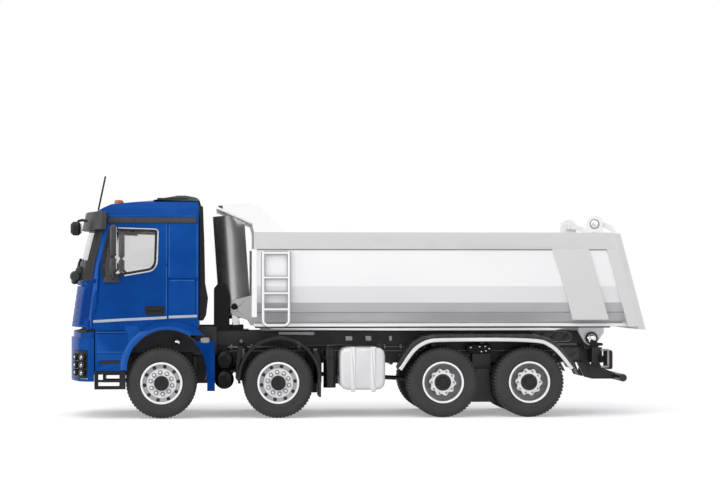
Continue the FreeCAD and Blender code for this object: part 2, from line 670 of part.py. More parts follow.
def cab_mass(name, inset):
    """The cab's outer form, drawn in by a number of wall thicknesses."""
    drop = f"{inset} * cab_wall"
    lower_plan = plan_sketch(name + "_plan", f"front_x + {FRONT_SLOPE} * (cab_low - 20)", "body_half", inset)
    lower = raised(name + "_lower", lower_plan,
                   "20", "belt", f"{FRONT_SLOPE} * (belt - 20)")
    upper_front = f"front_x - {FRONT_SLOPE} * (belt - cab_low)"
    upper_plan = plan_sketch(name + "_upper_plan", upper_front, "body_half", inset)
    upper = raised(name + "_upper", upper_plan, "belt", "roof_top + 6",
                   f"{SCREEN_SLOPE} * (roof_top + 6 - belt)")
    side = prism(name + "_side", "xz", [
        ("front_x + 5", "cab_low"), ("front_x + 5", f"roof_top - 7.4 - {drop}"),
        ("79.9", f"roof_top - 2.8 - {drop}"), ("76.7", f"roof_top - 1.3 - {drop}"),
        ("64", f"roof_top - {drop}"), (f"cab_rear + {drop}", f"roof_top - 0.5 - {drop}"),
        (f"cab_rear + {drop}", "cab_tail"), ("arch_x - 8", "cab_tail"), ("arch_x - 8", "sill"),
        ("81.5", "sill"), ("81.5", "cab_low"),
    ], *WIDE)
    end = prism(name + "_end", "yz", [
        (WIDE[0], "20"), (WIDE[1], "20"), (WIDE[1], "belt"), (f"body_half - {drop}", "belt"),
        (f"body_half - 1.2 - {drop}", "roof_top - 6"),
        (f"body_half - 2.4 - {drop}", f"roof_top - 2.6 - {drop} / 2"),
        (f"body_half - 5 - {drop}", f"roof_top - 0.6 - {drop}"),
        (f"body_half - 9 - {drop}", f"roof_top - {drop} + 0.1"),
        (f"-body_half + 9 + {drop}", f"roof_top - {drop} + 0.1"),
        (f"-body_half + 5 + {drop}", f"roof_top - 0.6 - {drop}"),
        (f"-body_half + 2.4 + {drop}", f"roof_top - 2.6 - {drop} / 2"),
        (f"-body_half + 1.2 + {drop}", "roof_top - 6"),
        (f"-body_half + {drop}", "belt"), (WIDE[0], "belt"),
    ], "30", "front_x + 5")
    form = common(name + "_form", fuse(name + "_plans", lower, upper), side)
    return common(name, form, end)


outer = cab_mass("cab_outer", 0)
hollow = cab_mass("cab_hollow", 1)
below = box("cab_below", ("cab_rear + cab_wall", "100"), ("-body_half + cab_wall", "body_half - cab_wall"),
            ("10", "cab_low + 0.5"))
arch = rod("arch_cutter", "y", "arch_x", WIDE, "arch_z", "arch_radius")
side_glass = prism("side_window", "xz", [
    ("77.0", "59.4"), ("62.2", "58.8"), ("62.5", "48.0"), ("64.0", "45.9"), ("73.7", "44.2"),
    ("78.6", "42.9"),
    ("79.5", "45.4"), ("78.8", "52.2"),
], *WIDE)
screen = box("screen_opening", ("80", "front_x + 5"), ("-body_half + 3.5", "body_half - 3.5"),
             ("belt + 0.9", "roof_top - 8.8"))
flare_disc = rod("flare_disc", "y", "flare_x", ("body_half - 0.3", "body_half + flare_out"), "arch_z",
                 "flare_radius")
flare_zone = box("flare_zone", ("arch_x - 16", "arch_x"), ("0", WIDE[1]), ("cab_tail", "40"))
flare_front = box("flare_front_zone", ("arch_x", "arch_x + 16"), ("0", WIDE[1]), ("sill", "40"))
flare = common("flare_ring", flare_disc, fuse("flare_zones", flare_zone, flare_front))
shell = cut("cab_walls", outer, hollow, below)
glazed = cut("cab_glazed", shell, side_glass, screen)
rimmed = fuse("cab_rimmed", glazed, flare, mirrored(flare))
part(cut("cab_shell", rimmed, arch))
part(group("cab_glass", common("door_glass", shell, side_glass), common("windscreen", shell, screen)))

floor_top = "floor_low + floor_thick"
floor_cutter = box("floor_cutter", ("cab_rear + cab_wall + 0.05", "front_x"), WIDE,
                   ("floor_low", floor_top))
floor_plate = common("floor_plate", hollow, floor_cutter)
lug = fuse(
    "cab_lug",
    prism("cab_lug_leg", "xz", [
        ("cab_pivot_x - 1.1", "cab_pivot_z + 1.7"), ("cab_pivot_x - 5.9", "floor_low + 0.4"),
        ("cab_pivot_x - 10.7", "floor_low + 0.4"), ("cab_pivot_x - 1.9", "cab_pivot_z - 0.6"),
    ], "rail_y + 2", "rail_y + 4"),
    rod("cab_lug_eye", "y", "cab_pivot_x", ("rail_y + 2", "rail_y + 4"), "cab_pivot_z", "2"),
)
lug_bore = rod("cab_lug_bore", "y", "cab_pivot_x", ("rail_y", "rail_y + 7"), "cab_pivot_z",
               "cab_pivot_radius + running_fit")
cab_lug = cut("cab_lug_bored", lug, lug_bore)
part(fuse("cab_floor", floor_plate, cab_lug, mirrored(cab_lug)))


def seat(name, y):
    """A seat: base, cushion and leaning back."""
    return prism(name, "xz", [
        ("56", floor_top), ("64", floor_top), ("64.5", "38.5"), ("57.5", "38.8"), ("56.0", "52"),
        ("53.8", "52"), ("55", "38"),
    ], f"{y} - 4.5", f"{y} + 4.5")


dash = prism("dashboard", "xz", [
    ("80.2", floor_top), ("82.8", floor_top), ("82.8", "45.5"), ("77.5", "45.5"), ("77", "43.5"),
], "-body_half + 5.5", "body_half - 5.5")
STEERING = ("74.6", "47.2")
column = strut("steering_column", STEERING, ("78.2", "43.8"), "0.5", "11.5")
steering_rim = doc.addObject("Part::Torus", "steering_rim")
steering_rim.Radius1 = 3.0
steering_rim.Radius2 = 0.35
steering_rim.Placement = FreeCAD.Placement(Vector(), FreeCAD.Rotation(Vector(0, 1, 0), -43))
bind(steering_rim, "Placement.Base.x", STEERING[0])
bind(steering_rim, "Placement.Base.y", "11.5")
bind(steering_rim, "Placement.Base.z", STEERING[1])
spoke = rod("steering_spoke", "y", STEERING[0], ("8.5", "14.5"), STEERING[1], "0.35")
part(group("cab_interior", seat("seat_driver", "11.5"), seat("seat_passenger", "-11.5"),
           fuse("dash_and_wheel", dash, column, steering_rim, spoke)))

visor_zone = box("visor_zone", ("78", "front_x + 5"), WIDE, ("roof_top - 9.3", "roof_top - 3.7"))
visor_band = cut("visor_band", cab_mass("visor_outer", -3), cab_mass("visor_inner", -0.4))
part(common("sun_visor", visor_band, visor_zone))


def door_mirror():
    """Mirror housings, one above the other, on an arm from the door."""
    across = ("body_half + 2.2", "body_half + 6")
    arm = box("mirror_arm", ("75", "78"), ("body_half", "body_half + 2"), ("42.4", "43.6"))
    post = box("mirror_post", ("75.2", "76.2"), ("body_half + 1.6", "body_half + 2.6"), ("42.4", "60"))
    tall = box("mirror_tall", ("74.7", "76.7"), across, ("50.4", "60"))
    small = box("mirror_small", ("74.7", "76.7"), across, ("45.4", "50"))
    return fuse("mirror_left", arm, post, tall, small)


part(both_sides("door_mirrors", door_mirror()))
part(prism("roof_deflector", "xz", [
    ("64", "roof_top + 0.05"), ("60.2", "roof_top + 0.8"), ("cab_rear + 6.5", "roof_top + 1.5"),
    ("cab_rear + 4", "roof_top + 1.5"), ("cab_rear + 0.8", "roof_top + 0.9"),
    ("cab_rear - 0.2", "roof_top + 0.1"),
    ("cab_rear - 0.8", "roof_top - 1.8"), ("cab_rear - 0.2", "roof_top - 1.8"),
    ("cab_rear - 0.05", "roof_top - 0.4"),
], "-body_half + 6", "body_half - 6"))
part(strut("antenna", ("78.9", "roof_top + 7.6"), ("81.1", "roof_top - 3"), "0.28", "15"))
part(prism("intake_stack", "xz", [
    ("cab_rear - 0.05", "roof_top - 1.9"), ("cab_rear - 1.3", "roof_top - 1.9"), ("cab_rear - 1.7", "55.5"),
    ("cab_rear - 2", "42"), ("cab_rear - 2.9", "37.3"), ("cab_rear - 2.3", "32"), ("cab_rear - 1.4", "30.4"),
    ("cab_rear - 0.05", "30.4"),
], "11", "body_half - 2"))

# -------------------------------------------------------------------------- bumper, lamps, steps


def plan_slab(name, inset, low, high):
    """An upright slab with the cab's plan outline, drawn in by a number of wall thicknesses."""
    return raised(name, plan_sketch(name + "_plan", "front_x", "body_half", inset), low, high)


bumper_form = plan_slab("bumper_form", 0, "11.6", "25")
bumper_hollow = plan_slab("bumper_hollow", 1, "11", "30")
bumper_step = cut("bumper_step", plan_slab("bumper_step_form", 0.9, "24.2", "27"),
                  plan_slab("bumper_step_hollow", 1.9, "12", "30"))
bumper_end = box("bumper_end", ("20", "bumper_rear"), WIDE, ("10", "30"))
lamp_zone = box("lamp_zone", ("bumper_rear + 2", "front_x + 5"), ("body_half - 9.5", WIDE[1]),
                ("12.4", "21.2"))
bumper_skin = fuse("bumper_skin", cut("bumper_wall", bumper_form, bumper_hollow), bumper_step)
bumper_shell = cut("bumper_shell", bumper_skin, bumper_end, lamp_zone, mirrored(lamp_zone))
bracket = box("bumper_bracket", ("rail_front", "front_x - 0.6"),
              ("rail_y - rail_flange", "rail_y - rail_web"), BETWEEN_FLANGES)
part(fuse("bumper", bumper_shell, bracket, mirrored(bracket)))
lamp_inner = plan_slab("lamp_inner", 2, "11", "30")
lamp_shell = cut("lamp_shell", bumper_form, lamp_inner)
lamp_seat = box("lamp_seat", ("bumper_rear + 2.1", "front_x + 5"), ("body_half - 9.4", WIDE[1]),
                ("12.5", "21.1"))
part(both_sides("headlamps", common("headlamp", lamp_shell, lamp_seat)))

panel = cut("step_panel_plate",
            box("step_panel_block", ("71.4", "bumper_rear - 0.4"), ("body_half - 0.6", "body_half + 0.2"),
                ("14.9", "sill - 0.4")),
            rod("step_panel_arch", "y", "arch_x", WIDE, "arch_z", "arch_radius"))
panel_arm = box("step_panel_arm", ("78.6", "80.4"), ("rail_y", "body_half - 0.6"), ("17.4", "19.2"))
part(both_sides("step_panels", fuse("step_panel", panel, panel_arm)))
step_start = "(axle_a + tyre_radius)"
step_end = "(bumper_rear - 0.1)"
step_low = "9.2"
step_high = "14.9"
step_depth = ("body_half - 5", "body_half - 0.5")
step_face = box("step_face", (step_start, step_end), ("body_half - 0.6", "body_half"), (step_low, step_high))
step_holes = group(
    "step_holes",
    box("step_hole_low", (f"{step_start} + 1.95", f"{step_end} - 1.2"), ("body_half - 5", "body_half + 5"),
        ("10.3", "11.4")),
    box("step_hole_high", (f"{step_start} + 1.95", f"{step_end} - 1.2"), ("body_half - 5", "body_half + 5"),
        ("12.2", "13.9")),
)
treads = [
    box(f"step_tread_{i}", (f"{step_start} + 2.15", f"{step_end} - 0.3"), step_depth, (low, f"{low} + 0.7"))
    for i, low in enumerate((step_low, "14.2"))
]
step_back = box("step_back", (f"{step_end} - 1", f"{step_end} - 0.3"), step_depth, (step_low, step_high))
part(both_sides("cab_steps", fuse("cab_step", cut("step_plate", step_face, step_holes), *treads, step_back)))

# ------------------------------------------------------------------------------------- mudguards
strip_rear = box("arch_strip", ("44.6", "46.2"), ("16", "body_half"), ("8.6", "24"))
strip_arm = box("arch_strip_arm", ("44.8", "46"), ("rail_y", "16"), ("18", "20"))


def hoop(name, x, z, outer_radius, thick, low, y):
    """A half ring over a wheel, cut off level at low."""
    ring = cut(name + "_ring", rod(name + "_outer", "y", x, y, z, outer_radius),
               rod(name + "_inner", "y", x, ("5", WIDE[1]), z, f"{outer_radius} - {thick}"))
    zone = box(name + "_zone", (f"{x} - 20", f"{x} + 20"), ("5", WIDE[1]), (low, f"{z} + 20"))
    return common(name, ring, zone)


guard_x = "(axle_b - 0.3)"
guard_radius = "(tyre_radius + 1.9)"
guard = hoop("guard_second", guard_x, "tyre_radius + 1.4", guard_radius, "0.8", "tyre_radius - 0.1",
             ("14", "body_half"))
flap = box("guard_flap", (f"{guard_x} - {guard_radius} - 0.1", f"{guard_x} - {guard_radius} + 0.6"),
           ("14", "body_half"), ("tyre_radius - 4.4", "tyre_radius + 1"))
guard_arm_up = ("tyre_radius + 9.4", "tyre_radius + 10.6")
guard_arm = box("guard_arm", ("axle_b - 10.2", "axle_b - 8.8"), ("rail_y", "15"), guard_arm_up)
guard_arm_front = box("guard_arm_front", ("axle_b + 7.8", "axle_b + 9.2"), ("rail_y", "15"), guard_arm_up)
front_guards = group("front_guards_left", fuse("strip_left", strip_rear, strip_arm),
                     fuse("guard_left", guard, flap, guard_arm, guard_arm_front))
part(both_sides("front_mudguards", front_guards))

GUARD_OUT = [("-12.9", "15.2"), ("-14.2", "19.4"), ("-16.9", "23.4"), ("-20.6", "25.4"), ("-24.6", "26.0"),
             ("-56", "26.0"), ("-60.4", "24.8"), ("-63.9", "21.7"), ("-66.7", "18.2"), ("-68.2", "15.2")]
GUARD_IN = [("-67.4", "15.2"), ("-65.9", "17.8"), ("-63.2", "21.1"), ("-59.9", "24.0"), ("-55.8", "25.2"),
            ("-24.7", "25.2"), ("-20.9", "24.6"), ("-17.4", "22.8"), ("-14.9", "19.2"), ("-13.7", "15.2")]
rear_guard = prism("rear_guard", "xz", GUARD_OUT + GUARD_IN, "11.6", "body_half")
stays = [box(f"rear_guard_stay_{i}", (f"{x} - 0.7", f"{x} + 0.7"), ("rail_y", "12"), ("20.6", "25.6"))
         for i, x in enumerate(("-24.8", "(axle_c + axle_d) / 2", "-56.2"))]
part(both_sides("rear_mudguards", fuse("rear_guard_left", rear_guard, *stays)))

# --------------------------------------------------------------------------- side-mounted pieces
tank = box("tank_block", ("-8.6", "5.6"), ("10.6", "24.2"), ("8.7", "22"))
tank_neck = rod("tank_neck", "z", "-7.2", "21", ("22", "23"), "1.1")
tank_arm = box("tank_arm", ("-4", "1"), ("rail_y", "10.6"), ("17", "20"))
part(fuse("fuel_tank", tank, tank_neck, tank_arm))
air_top = rod("air_tank_top", "y", "41.6", ("11", "24.4"), "18.2", "2.95")
air_low = rod("air_tank_low", "y", "41.6", ("11", "24.4"), "12.15", "2.95")
air_plate = box("air_tank_plate", ("39.6", "43.6"), ("rail_y", "11"), ("10.5", "20.5"))
part(fuse("air_tanks", air_top, air_low, air_plate))
canister = rod("canister", "z", "8.7", "21.2", ("9.4", "21.4"), "1.95")
canister_arm = box("canister_arm", ("8.0", "9.4"), ("rail_y", "20"), ("18.6", "20"))
battery = box("battery_box", ("-8.6", "8"), ("-24.2", "-11.6"), ("9", "20.6"))
battery_arm = box("battery_arm", ("-4", "4"), ("-11.6", "-rail_y"), ("17", "20"))
silencer = rod("silencer", "y", "41", ("-24", "-11"), "14.6", "3.2")
silencer_arm = box("silencer_arm", ("40", "42.4"), ("-11", "-rail_y"), ("14", "20"))
canister_left = fuse("canister_left", canister, canister_arm)
battery_right = fuse("battery_right", battery, battery_arm)
part(group("side_boxes", canister_left, battery_right, fuse("silencer_right", silencer, silencer_arm)))

# --------------------------------------------------------------------------------- rear of frame
cross = box("rear_beam", ("-78.4", "rail_rear"), ("-16", "16"), ("16.7", "21.6"))
ear = prism("tip_ear", "xz", [
    ("tip_x - 3.05", "rail_top - 0.6"), ("tip_x + 1.95", "rail_top - 0.6"), ("tip_x + 1.75", "tip_z - 0.5"),
    ("tip_x + 1.15", "tip_z + 1.3"), ("tip_x - 1.15", "tip_z + 1.3"), ("tip_x - 2.05", "tip_z + 0.1"),
], "9.6", "11.6")
pin_tip = rod("tip_pin", "y", "tip_x", ("10", "15.2"), "tip_z", "tip_pin_radius")
coupling = box("coupling_block", ("-79.6", "-78.4"), ("-2.6", "2.6"), ("16.9", "21.2"))
coupling_bore = rod("coupling_bore", "x", ("-81", "-74"), "0", "19", "0.9")
ends = fuse("rear_ends", ear, pin_tip)
rear_solid = fuse("rear_solid", cross, ends, mirrored(ends), coupling)
part(cut("rear_crossmember", rear_solid, coupling_bore))
guard_arm_rear = prism("underrun_arm", "xz", [
    ("-76", "16.7"), ("-78.4", "16.7"), ("-79.2", "15"), ("-84", "13"), ("-84", "11.4"), ("-76", "11.4"),
    ("-73.6", "12.0"), ("-71.2", "16.6"), ("-73.6", "16.7"), ("-75", "13"),
], "9.5", "11")
tube = rod("underrun_tube", "y", "-84", ("-22", "22"), "12.2", "1.2")
part(fuse("underrun_guard", tube, guard_arm_rear, mirrored(guard_arm_rear)))
lamp_block = box("tail_lamp", ("-80.2", "-78.5"), ("17", "23.8"), ("15", "20.9"))
lamp_arm = box("tail_lamp_arm", ("-78.5", "-77.3"), ("16", "19"), ("17", "19"))
part(both_sides("tail_lamps", fuse("tail_lamp_left", lamp_block, lamp_arm)))

# ------------------------------------------------------------------------------- cylinder cradle
trunnion_x = "(tub_front + cover_radius + cover_space)"
cheek_y = "(cover_radius + trunnion_space)"
cradle_front = f"({trunnion_x} + cover_radius + 1.68)"
cradle_low = "subframe_top + 0.2"
cheek = prism("cradle_cheek", "xz", [
    (cradle_front, cradle_low), (cradle_front, "40.2"), (f"{cradle_front} - 1", "41.6"),
    (f"{trunnion_x} + 3.03", "41.6"), (f"{trunnion_x} + 1.73", "38"), (f"{trunnion_x} + 1.73", cradle_low),
], cheek_y, f"{cheek_y} + 0.8")
front_plate = box("cradle_front", (f"{cradle_front} - 0.7", cradle_front), (f"-{cheek_y}", cheek_y),
                  (cradle_low, "38"))
base_plate = box("cradle_base", (f"{trunnion_x} - 4.57", cradle_front), ("-rail_y + 0.1", "rail_y - 0.1"),
                 ("subframe_top", "subframe_top + 0.4"))
foot_x = f"({trunnion_x} - foot_down * sin(cylinder_lean))"
foot_z = "(trunnion_z - foot_down * cos(cylinder_lean))"
saddle = box("cradle_saddle", (f"{foot_x} - 2.4", f"{foot_x} + 2.4"), ("3.0", "3.8"),
             (cradle_low, f"{foot_z} + 0.2"))
part(fuse("cylinder_cradle", base_plate, front_plate, cheek, mirrored(cheek), saddle, mirrored(saddle)))


# ------------------------------------------------------------------------------- tipping cylinder
def leaning(item, x, z):
    """Lean an upright piece about the trunnion axis, with its origin at x and z."""
    bind(item, "Placement.Base.x", x)
    bind(item, "Placement.Base.z", z)
    item.Placement.Rotation = FreeCAD.Rotation(Vector(0, 1, 0), 0)
    item.setExpression("Placement.Rotation.Axis.x", "0")
    item.setExpression("Placement.Rotation.Axis.y", "1")
    item.setExpression("Placement.Rotation.Axis.z", "0")
    bind(item, "Placement.Rotation.Angle", "cylinder_lean")
    return item


def sleeve(name, outside, inside, low, high, floor=None):
    """An upright tube about Z, between two heights from the trunnions; floor closes its lower end."""
    solid = rod(name + "_tube", "z", "0", "0", (low, high), outside)
    start = low if floor is None else f"({low}) + {floor}"
    bore_low = f"{start} - 1" if floor is None else start
    bore = rod(name + "_bore", "z", "0", "0", (bore_low, f"{high} + 1"), inside)
    return cut(name + "_sleeve", solid, bore)


def stage_radius(step):
    """Outer radius of the telescopic tube that is step places inside the cover."""
    return f"(cover_radius - stage_wall + 0.13 - {step} * (stage_wall + stage_gap))"


cover_inside = f"({stage_radius(0)} + stage_gap)"
cover_tube = sleeve("cover", "cover_radius", cover_inside, "-cover_down", "cover_up - 0.7")
cover_cap = rod("cover_cap", "z", "0", "0", ("cover_up - 0.7", "cover_up"), "cover_radius")
core_radius = f"({stage_radius(3)} - stage_wall - stage_gap)"
core = rod("cover_core", "z", "0", "0", ("-1.8", "cover_up - 0.5"), core_radius)
pins = rod("cover_pins", "y", "0", ("cover_radius - 0.3", "cover_radius + 1.95"), "0", "trunnion_radius")
cover_all = fuse("cover_solid", cover_tube, cover_cap, core, pins, mirrored(pins))
part(leaning(group("cylinder_cover", cover_all), trunnion_x, "trunnion_z"))
STAGES = ["cylinder_base", "cylinder_stage_two", "cylinder_stage_three", "cylinder_stage_four"]
for step, label in enumerate(STAGES):
    low = f"({-3.2 if step == 0 else -2.6 + 0.2 * step})"
    high = f"(cover_up - {2.4 - 0.5 * step})"
    inside = f"({stage_radius(step)} - stage_wall)"
    tube_item = sleeve(label, stage_radius(step), inside, low, high, None if step else "0.6")
    if step == 0:
        neck = box("foot_neck", ("-1.2", "1.2"), ("-2.6", "2.6"), ("-foot_down", "-3.1"))
        eye = rod("foot_eye", "y", "0", ("-2.7", "2.7"), "-foot_down", "1.1")
        tube_item = fuse("cylinder_base_solid", tube_item, neck, eye)
    part(leaning(group(label, tube_item), trunnion_x, "trunnion_z"))

# ------------------------------------------------------------------------------------ tipper body
SIDE_SECTION = [
    ("tub_half - 4", "tub_low"), ("tub_half - 4", "29.9"), ("tub_half - 2", "32.7"), ("tub_half - 0.6", "36"),
    ("tub_half", "41.1"), ("tub_half", "tub_rail_low"), ("tub_half + 0.5", "tub_rail_low"),
    ("tub_half + 0.5", "tub_top"),
]
INNER_SECTION = [
    ("tub_half - 4.6", "tub_low + tub_wall + 0.3"), ("tub_half - 2.9", "33.1"), ("tub_half - 1.5", "36.3"),
    ("tub_half - tub_wall", "41.2"), ("tub_half - tub_wall", "tub_top + 1"),
]


def mirror_points(points):
    """The same (across, up) formulas on the right side, from the last to the first."""
    return [(f"-({across})", up) for across, up in reversed(points)]


tub_outer = prism("tub_outer", "yz", SIDE_SECTION + mirror_points(SIDE_SECTION),
                  "tub_rear_low - 4", "tub_front")
tub_inner = prism("tub_inner", "yz", INNER_SECTION + mirror_points(INNER_SECTION),
                  "tub_rear_low - 6", "tub_front - tub_wall")
rear_slope = "((tub_rear_top - tub_rear_low) / (tub_top - tub_low))"


def rear_line(height, offset="0"):
    """X of the sloping rear edge at a height."""
    return f"(tub_rear_low + ({height} - tub_low) * {rear_slope} + {offset})"


behind = prism("tub_behind", "xz", [
    (rear_line("20"), "20"), (rear_line("70"), "70"), ("-110", "70"), ("-110", "20"),
], "-tub_half - 5", "tub_half + 5")
sill_beam = box("tub_sill", ("subframe_rear - 0.2", "tub_front - 2.4"), ("rail_y - 3.1", "rail_y - 0.9"),
                ("subframe_top + seat_gap", "tub_low + 0.3"))
tip_lug = prism("tip_lug", "xz", [
    ("tip_x + 4.15", "tub_low + 0.3"), ("tip_x + 4.15", "tip_z + 2.3"), ("tip_x + 2.25", "tip_z - 1.1"),
    ("tip_x + 0.85", "tip_z - 2.2"), ("tip_x - 0.85", "tip_z - 2.2"), ("tip_x - 2.25", "tip_z - 0.9"),
    ("tip_x - 4.15", "tip_z + 1.9"), ("tip_x - 4.15", "tub_low + 0.3"),
], "12.4", "14.4")
lug_hole = rod("tip_lug_hole", "y", "tip_x", ("11", "16"), "tip_z", "tip_pin_radius + running_fit")
front_post = box("tub_post", ("tub_front - 0.9", "tub_front + 0.7"), ("tub_half - 0.8", "tub_half + 0.3"),
                 ("tub_low + 3", "tub_rail_low"))
slant_post = prism("tub_slant_post", "xz", [
    ("-61", "tub_rail_low + 0.1"), ("-72.5", "tub_rail_low + 0.1"), ("-76", "41"), ("-66.6", "41"),
], "tub_half - 0.6", "tub_half + 0.5")
gate_lug = fuse(
    "gate_lug",
    prism("gate_lug_plate", "xz", [
        ("gate_hinge_x + 3.44", "tub_top - 0.3"), ("gate_hinge_x + 2.04", "gate_hinge_z + 0.9"),
        ("gate_hinge_x", "gate_hinge_z + 2.4"), ("gate_hinge_x - 1.96", "gate_hinge_z + 0.9"),
        ("gate_hinge_x - 3.16", "tub_top - 0.3"),
    ], "tub_half - 0.5", "tub_half + 0.4"),
    rod("gate_pin", "y", "gate_hinge_x", ("tub_half - 1.8", "tub_half"), "gate_hinge_z", "gate_pin_radius"),
)
left_fittings = fuse("tub_left_fittings", sill_beam, tip_lug, front_post, slant_post, gate_lug)
fittings = cut("tub_fittings_left", left_fittings, lug_hole)
tub_shell = cut("tub_shell", tub_outer, tub_inner, behind)
corner_recess = box("tub_recess", ("tub_front - 2.2", "tub_front + 1.6"),
                    ("-cover_radius - 0.25", "cover_radius + 0.25"), ("20", "tub_low + 2.4"))
part(cut("load_box", fuse("tub_solid", tub_shell, fittings, mirrored(fittings)), corner_recess))

SHEET_HALF = ("-tub_half + 0.6", "tub_half - 0.6")
seam = "tub_top + 0.02"
gusset = prism("canopy_gusset", "xz", [
    ("canopy_front - 2", "canopy_top"), ("tub_front - 0.9", "canopy_top"), ("tub_front - 9.5", seam),
    ("tub_front", seam), ("tub_front + 0.3", "canopy_top - 6.2"), ("canopy_front - 2", "canopy_top - 1.9"),
], "tub_half - 0.8", "tub_half")
canopy_sheet = prism("canopy_sheet", "xz", [
    ("canopy_front", "canopy_top - 1.7"), ("canopy_front", "canopy_top"), ("tub_front - 0.9", "canopy_top"),
    ("tub_front - 0.9", "canopy_top - 0.6"), ("canopy_front - 0.6", "canopy_top - 0.6"),
    ("canopy_front - 0.6", "canopy_top - 1.7"),
], *SHEET_HALF)
canopy_slope = prism("canopy_slope", "xz", [
    ("tub_front", seam), ("tub_front + 0.6", "canopy_top - 6.4"), ("canopy_front - 0.3", "canopy_top - 1.6"),
    ("canopy_front - 0.3", "canopy_top - 1"), ("tub_front - 0.2", "canopy_top - 5.8"),
    ("tub_front - 0.8", seam),
], *SHEET_HALF)
cylinder_way = box("canopy_way", ("tub_front + 0.5", f"{trunnion_x} + cover_radius + 0.18"),
                   ("-cover_radius - 1.55", "cover_radius + 1.55"), (seam, "canopy_top - 1.4"))
canopy_open = cut("canopy_slope_open", canopy_slope, cylinder_way)
part(fuse("canopy", canopy_sheet, canopy_open, gusset, mirrored(gusset)))

bracket_plate = prism("trunnion_plate", "xz", [
    ("tub_front", "trunnion_z + 4.25"), (trunnion_x, "trunnion_z + 2.85"),
    (f"{trunnion_x} + 1.1", "trunnion_z + 2.15"), (f"{trunnion_x} + 1.4", "trunnion_z + 1.15"),
    (f"{trunnion_x} + 1.4", "trunnion_z - 1.15"), (f"{trunnion_x} + 0.6", "trunnion_z - 2.15"),
    ("tub_front + 1.8", "trunnion_z - 3.65"), ("tub_front + 0.8", "tub_low + 0.1"),
    ("tub_front", "tub_low + 0.1"),
], cheek_y, f"{cheek_y} + 0.9")
bracket_bore = rod("trunnion_bore", "y", trunnion_x, (f"{cheek_y} - 1", f"{cheek_y} + 2"), "trunnion_z",
                   "trunnion_radius + running_fit")
part(both_sides("trunnion_brackets", cut("trunnion_bracket", bracket_plate, bracket_bore)))

LADDER_X = ("29.6", "21.5")
ladder_rails = [
    box(f"ladder_rail_{i}", (f"{x} - 0.4", f"{x} + 0.4"), ("tub_half + 0.7", "tub_half + 1.5"), ("29", "52"))
    for i, x in enumerate(LADDER_X)
]
RUNGS = ("28.9", "33.9", "38.9", "43.8", "51.4")
rungs = [
    rod(f"ladder_rung_{i}", "x", (LADDER_X[1], LADDER_X[0]), "tub_half + 1.1", z, "0.35")
    for i, z in enumerate(RUNGS)
]
ladder_feet = [
    box(f"ladder_foot_{i}_{j}", (f"{x} - 0.4", f"{x} + 0.4"), ("tub_half", "tub_half + 0.8"),
        (z, f"{z} + 0.8"))
    for i, x in enumerate(LADDER_X) for j, z in enumerate(("43", "51"))
]
part(fuse("side_ladder", *ladder_rails, *rungs, *ladder_feet))

gate_low = "(tub_low - 1)"
gate_high = "(tub_top - 0.2)"
gate_far = "(0 - gate_gap - gate_thick)"
gate_plate = prism("gate_plate", "xz", [
    (rear_line(gate_low, "0 - gate_gap"), gate_low), (rear_line(gate_high, "0 - gate_gap"), gate_high),
    (rear_line(gate_high, gate_far), gate_high), (rear_line(gate_low, gate_far), gate_low),
], "-tub_half - 0.5", "tub_half + 0.5")
GATE_ROWS = (("30", "42.6"), ("44.6", "55.6"))
GATE_COLUMNS = (("-tub_half + 1.5", "-8.7"), ("-7.4", "7.4"), ("8.7", "tub_half - 1.5"))
panels = []
for i, (low, high) in enumerate(GATE_ROWS):
    for j, (left, right) in enumerate(GATE_COLUMNS):
        panels.append(prism(f"gate_panel_{i}_{j}", "xz", [
            (rear_line(low, f"{gate_far} + 1.1"), low), (rear_line(high, f"{gate_far} + 1.1"), high),
            (rear_line(high, "-6"), high), (rear_line(low, "-6"), low),
        ], left, right))
ARM_ACROSS = ("tub_half - 1.7", "tub_half - 0.8")
gate_arm = prism("gate_arm", "xz", [
    ("gate_hinge_x + 1.14", "gate_hinge_z - 0.6"), ("gate_hinge_x + 1.14", "gate_hinge_z + 0.8"),
    ("gate_hinge_x - 2.26", "gate_hinge_z + 1"), ("-80.4", "gate_hinge_z - 0.6"), ("-82.2", "tub_top - 0.5"),
    ("-80.8", "tub_top - 0.5"), ("-80.0", "gate_hinge_z - 2"), ("gate_hinge_x - 2.26", "gate_hinge_z - 0.6"),
], *ARM_ACROSS)
gate_bore = rod("gate_bore", "y", "gate_hinge_x", ("tub_half - 3", "tub_half - 0.6"), "gate_hinge_z",
                "gate_pin_radius + running_fit")
arm_bored = cut("gate_arm_bored", gate_arm, gate_bore)
part(fuse("tailgate", cut("gate_frame", gate_plate, *panels), arm_bored, mirrored(arm_bored)))

# ----------------------------------------------------------------------------------- build, check
doc.recompute()
faults = []
for item in doc.Objects:
    if "Invalid" in item.State or "Error" in item.State:
        faults.append(f"{item.Label}: {item.State}")
for item in PARTS:
    if item.Shape.isNull() or not item.Shape.isValid() or not item.Shape.Solids:
        faults.append(f"{item.Label}: no valid solid")
if faults:
    raise RuntimeError("pieces that did not build: " + ", ".join(faults))

os.makedirs("parts", exist_ok=True)
for item in PARTS:
    item.Shape.exportStep(f"parts/{item.Label}.step")
    print(item.Label, len(item.Shape.Solids), round(item.Shape.Volume, 1))
print(len(PARTS), "pieces")
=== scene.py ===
"""Looks of a four-axle tipper lorry, a 1:50 die-cast model, built round its packed construction.

Sizes are in millimetres unless a name says otherwise: +X is the front, +Y the left side and +Z up.
"""

import json
import logging
import math
from dataclasses import dataclass
from enum import Enum
from typing import Optional, Sequence

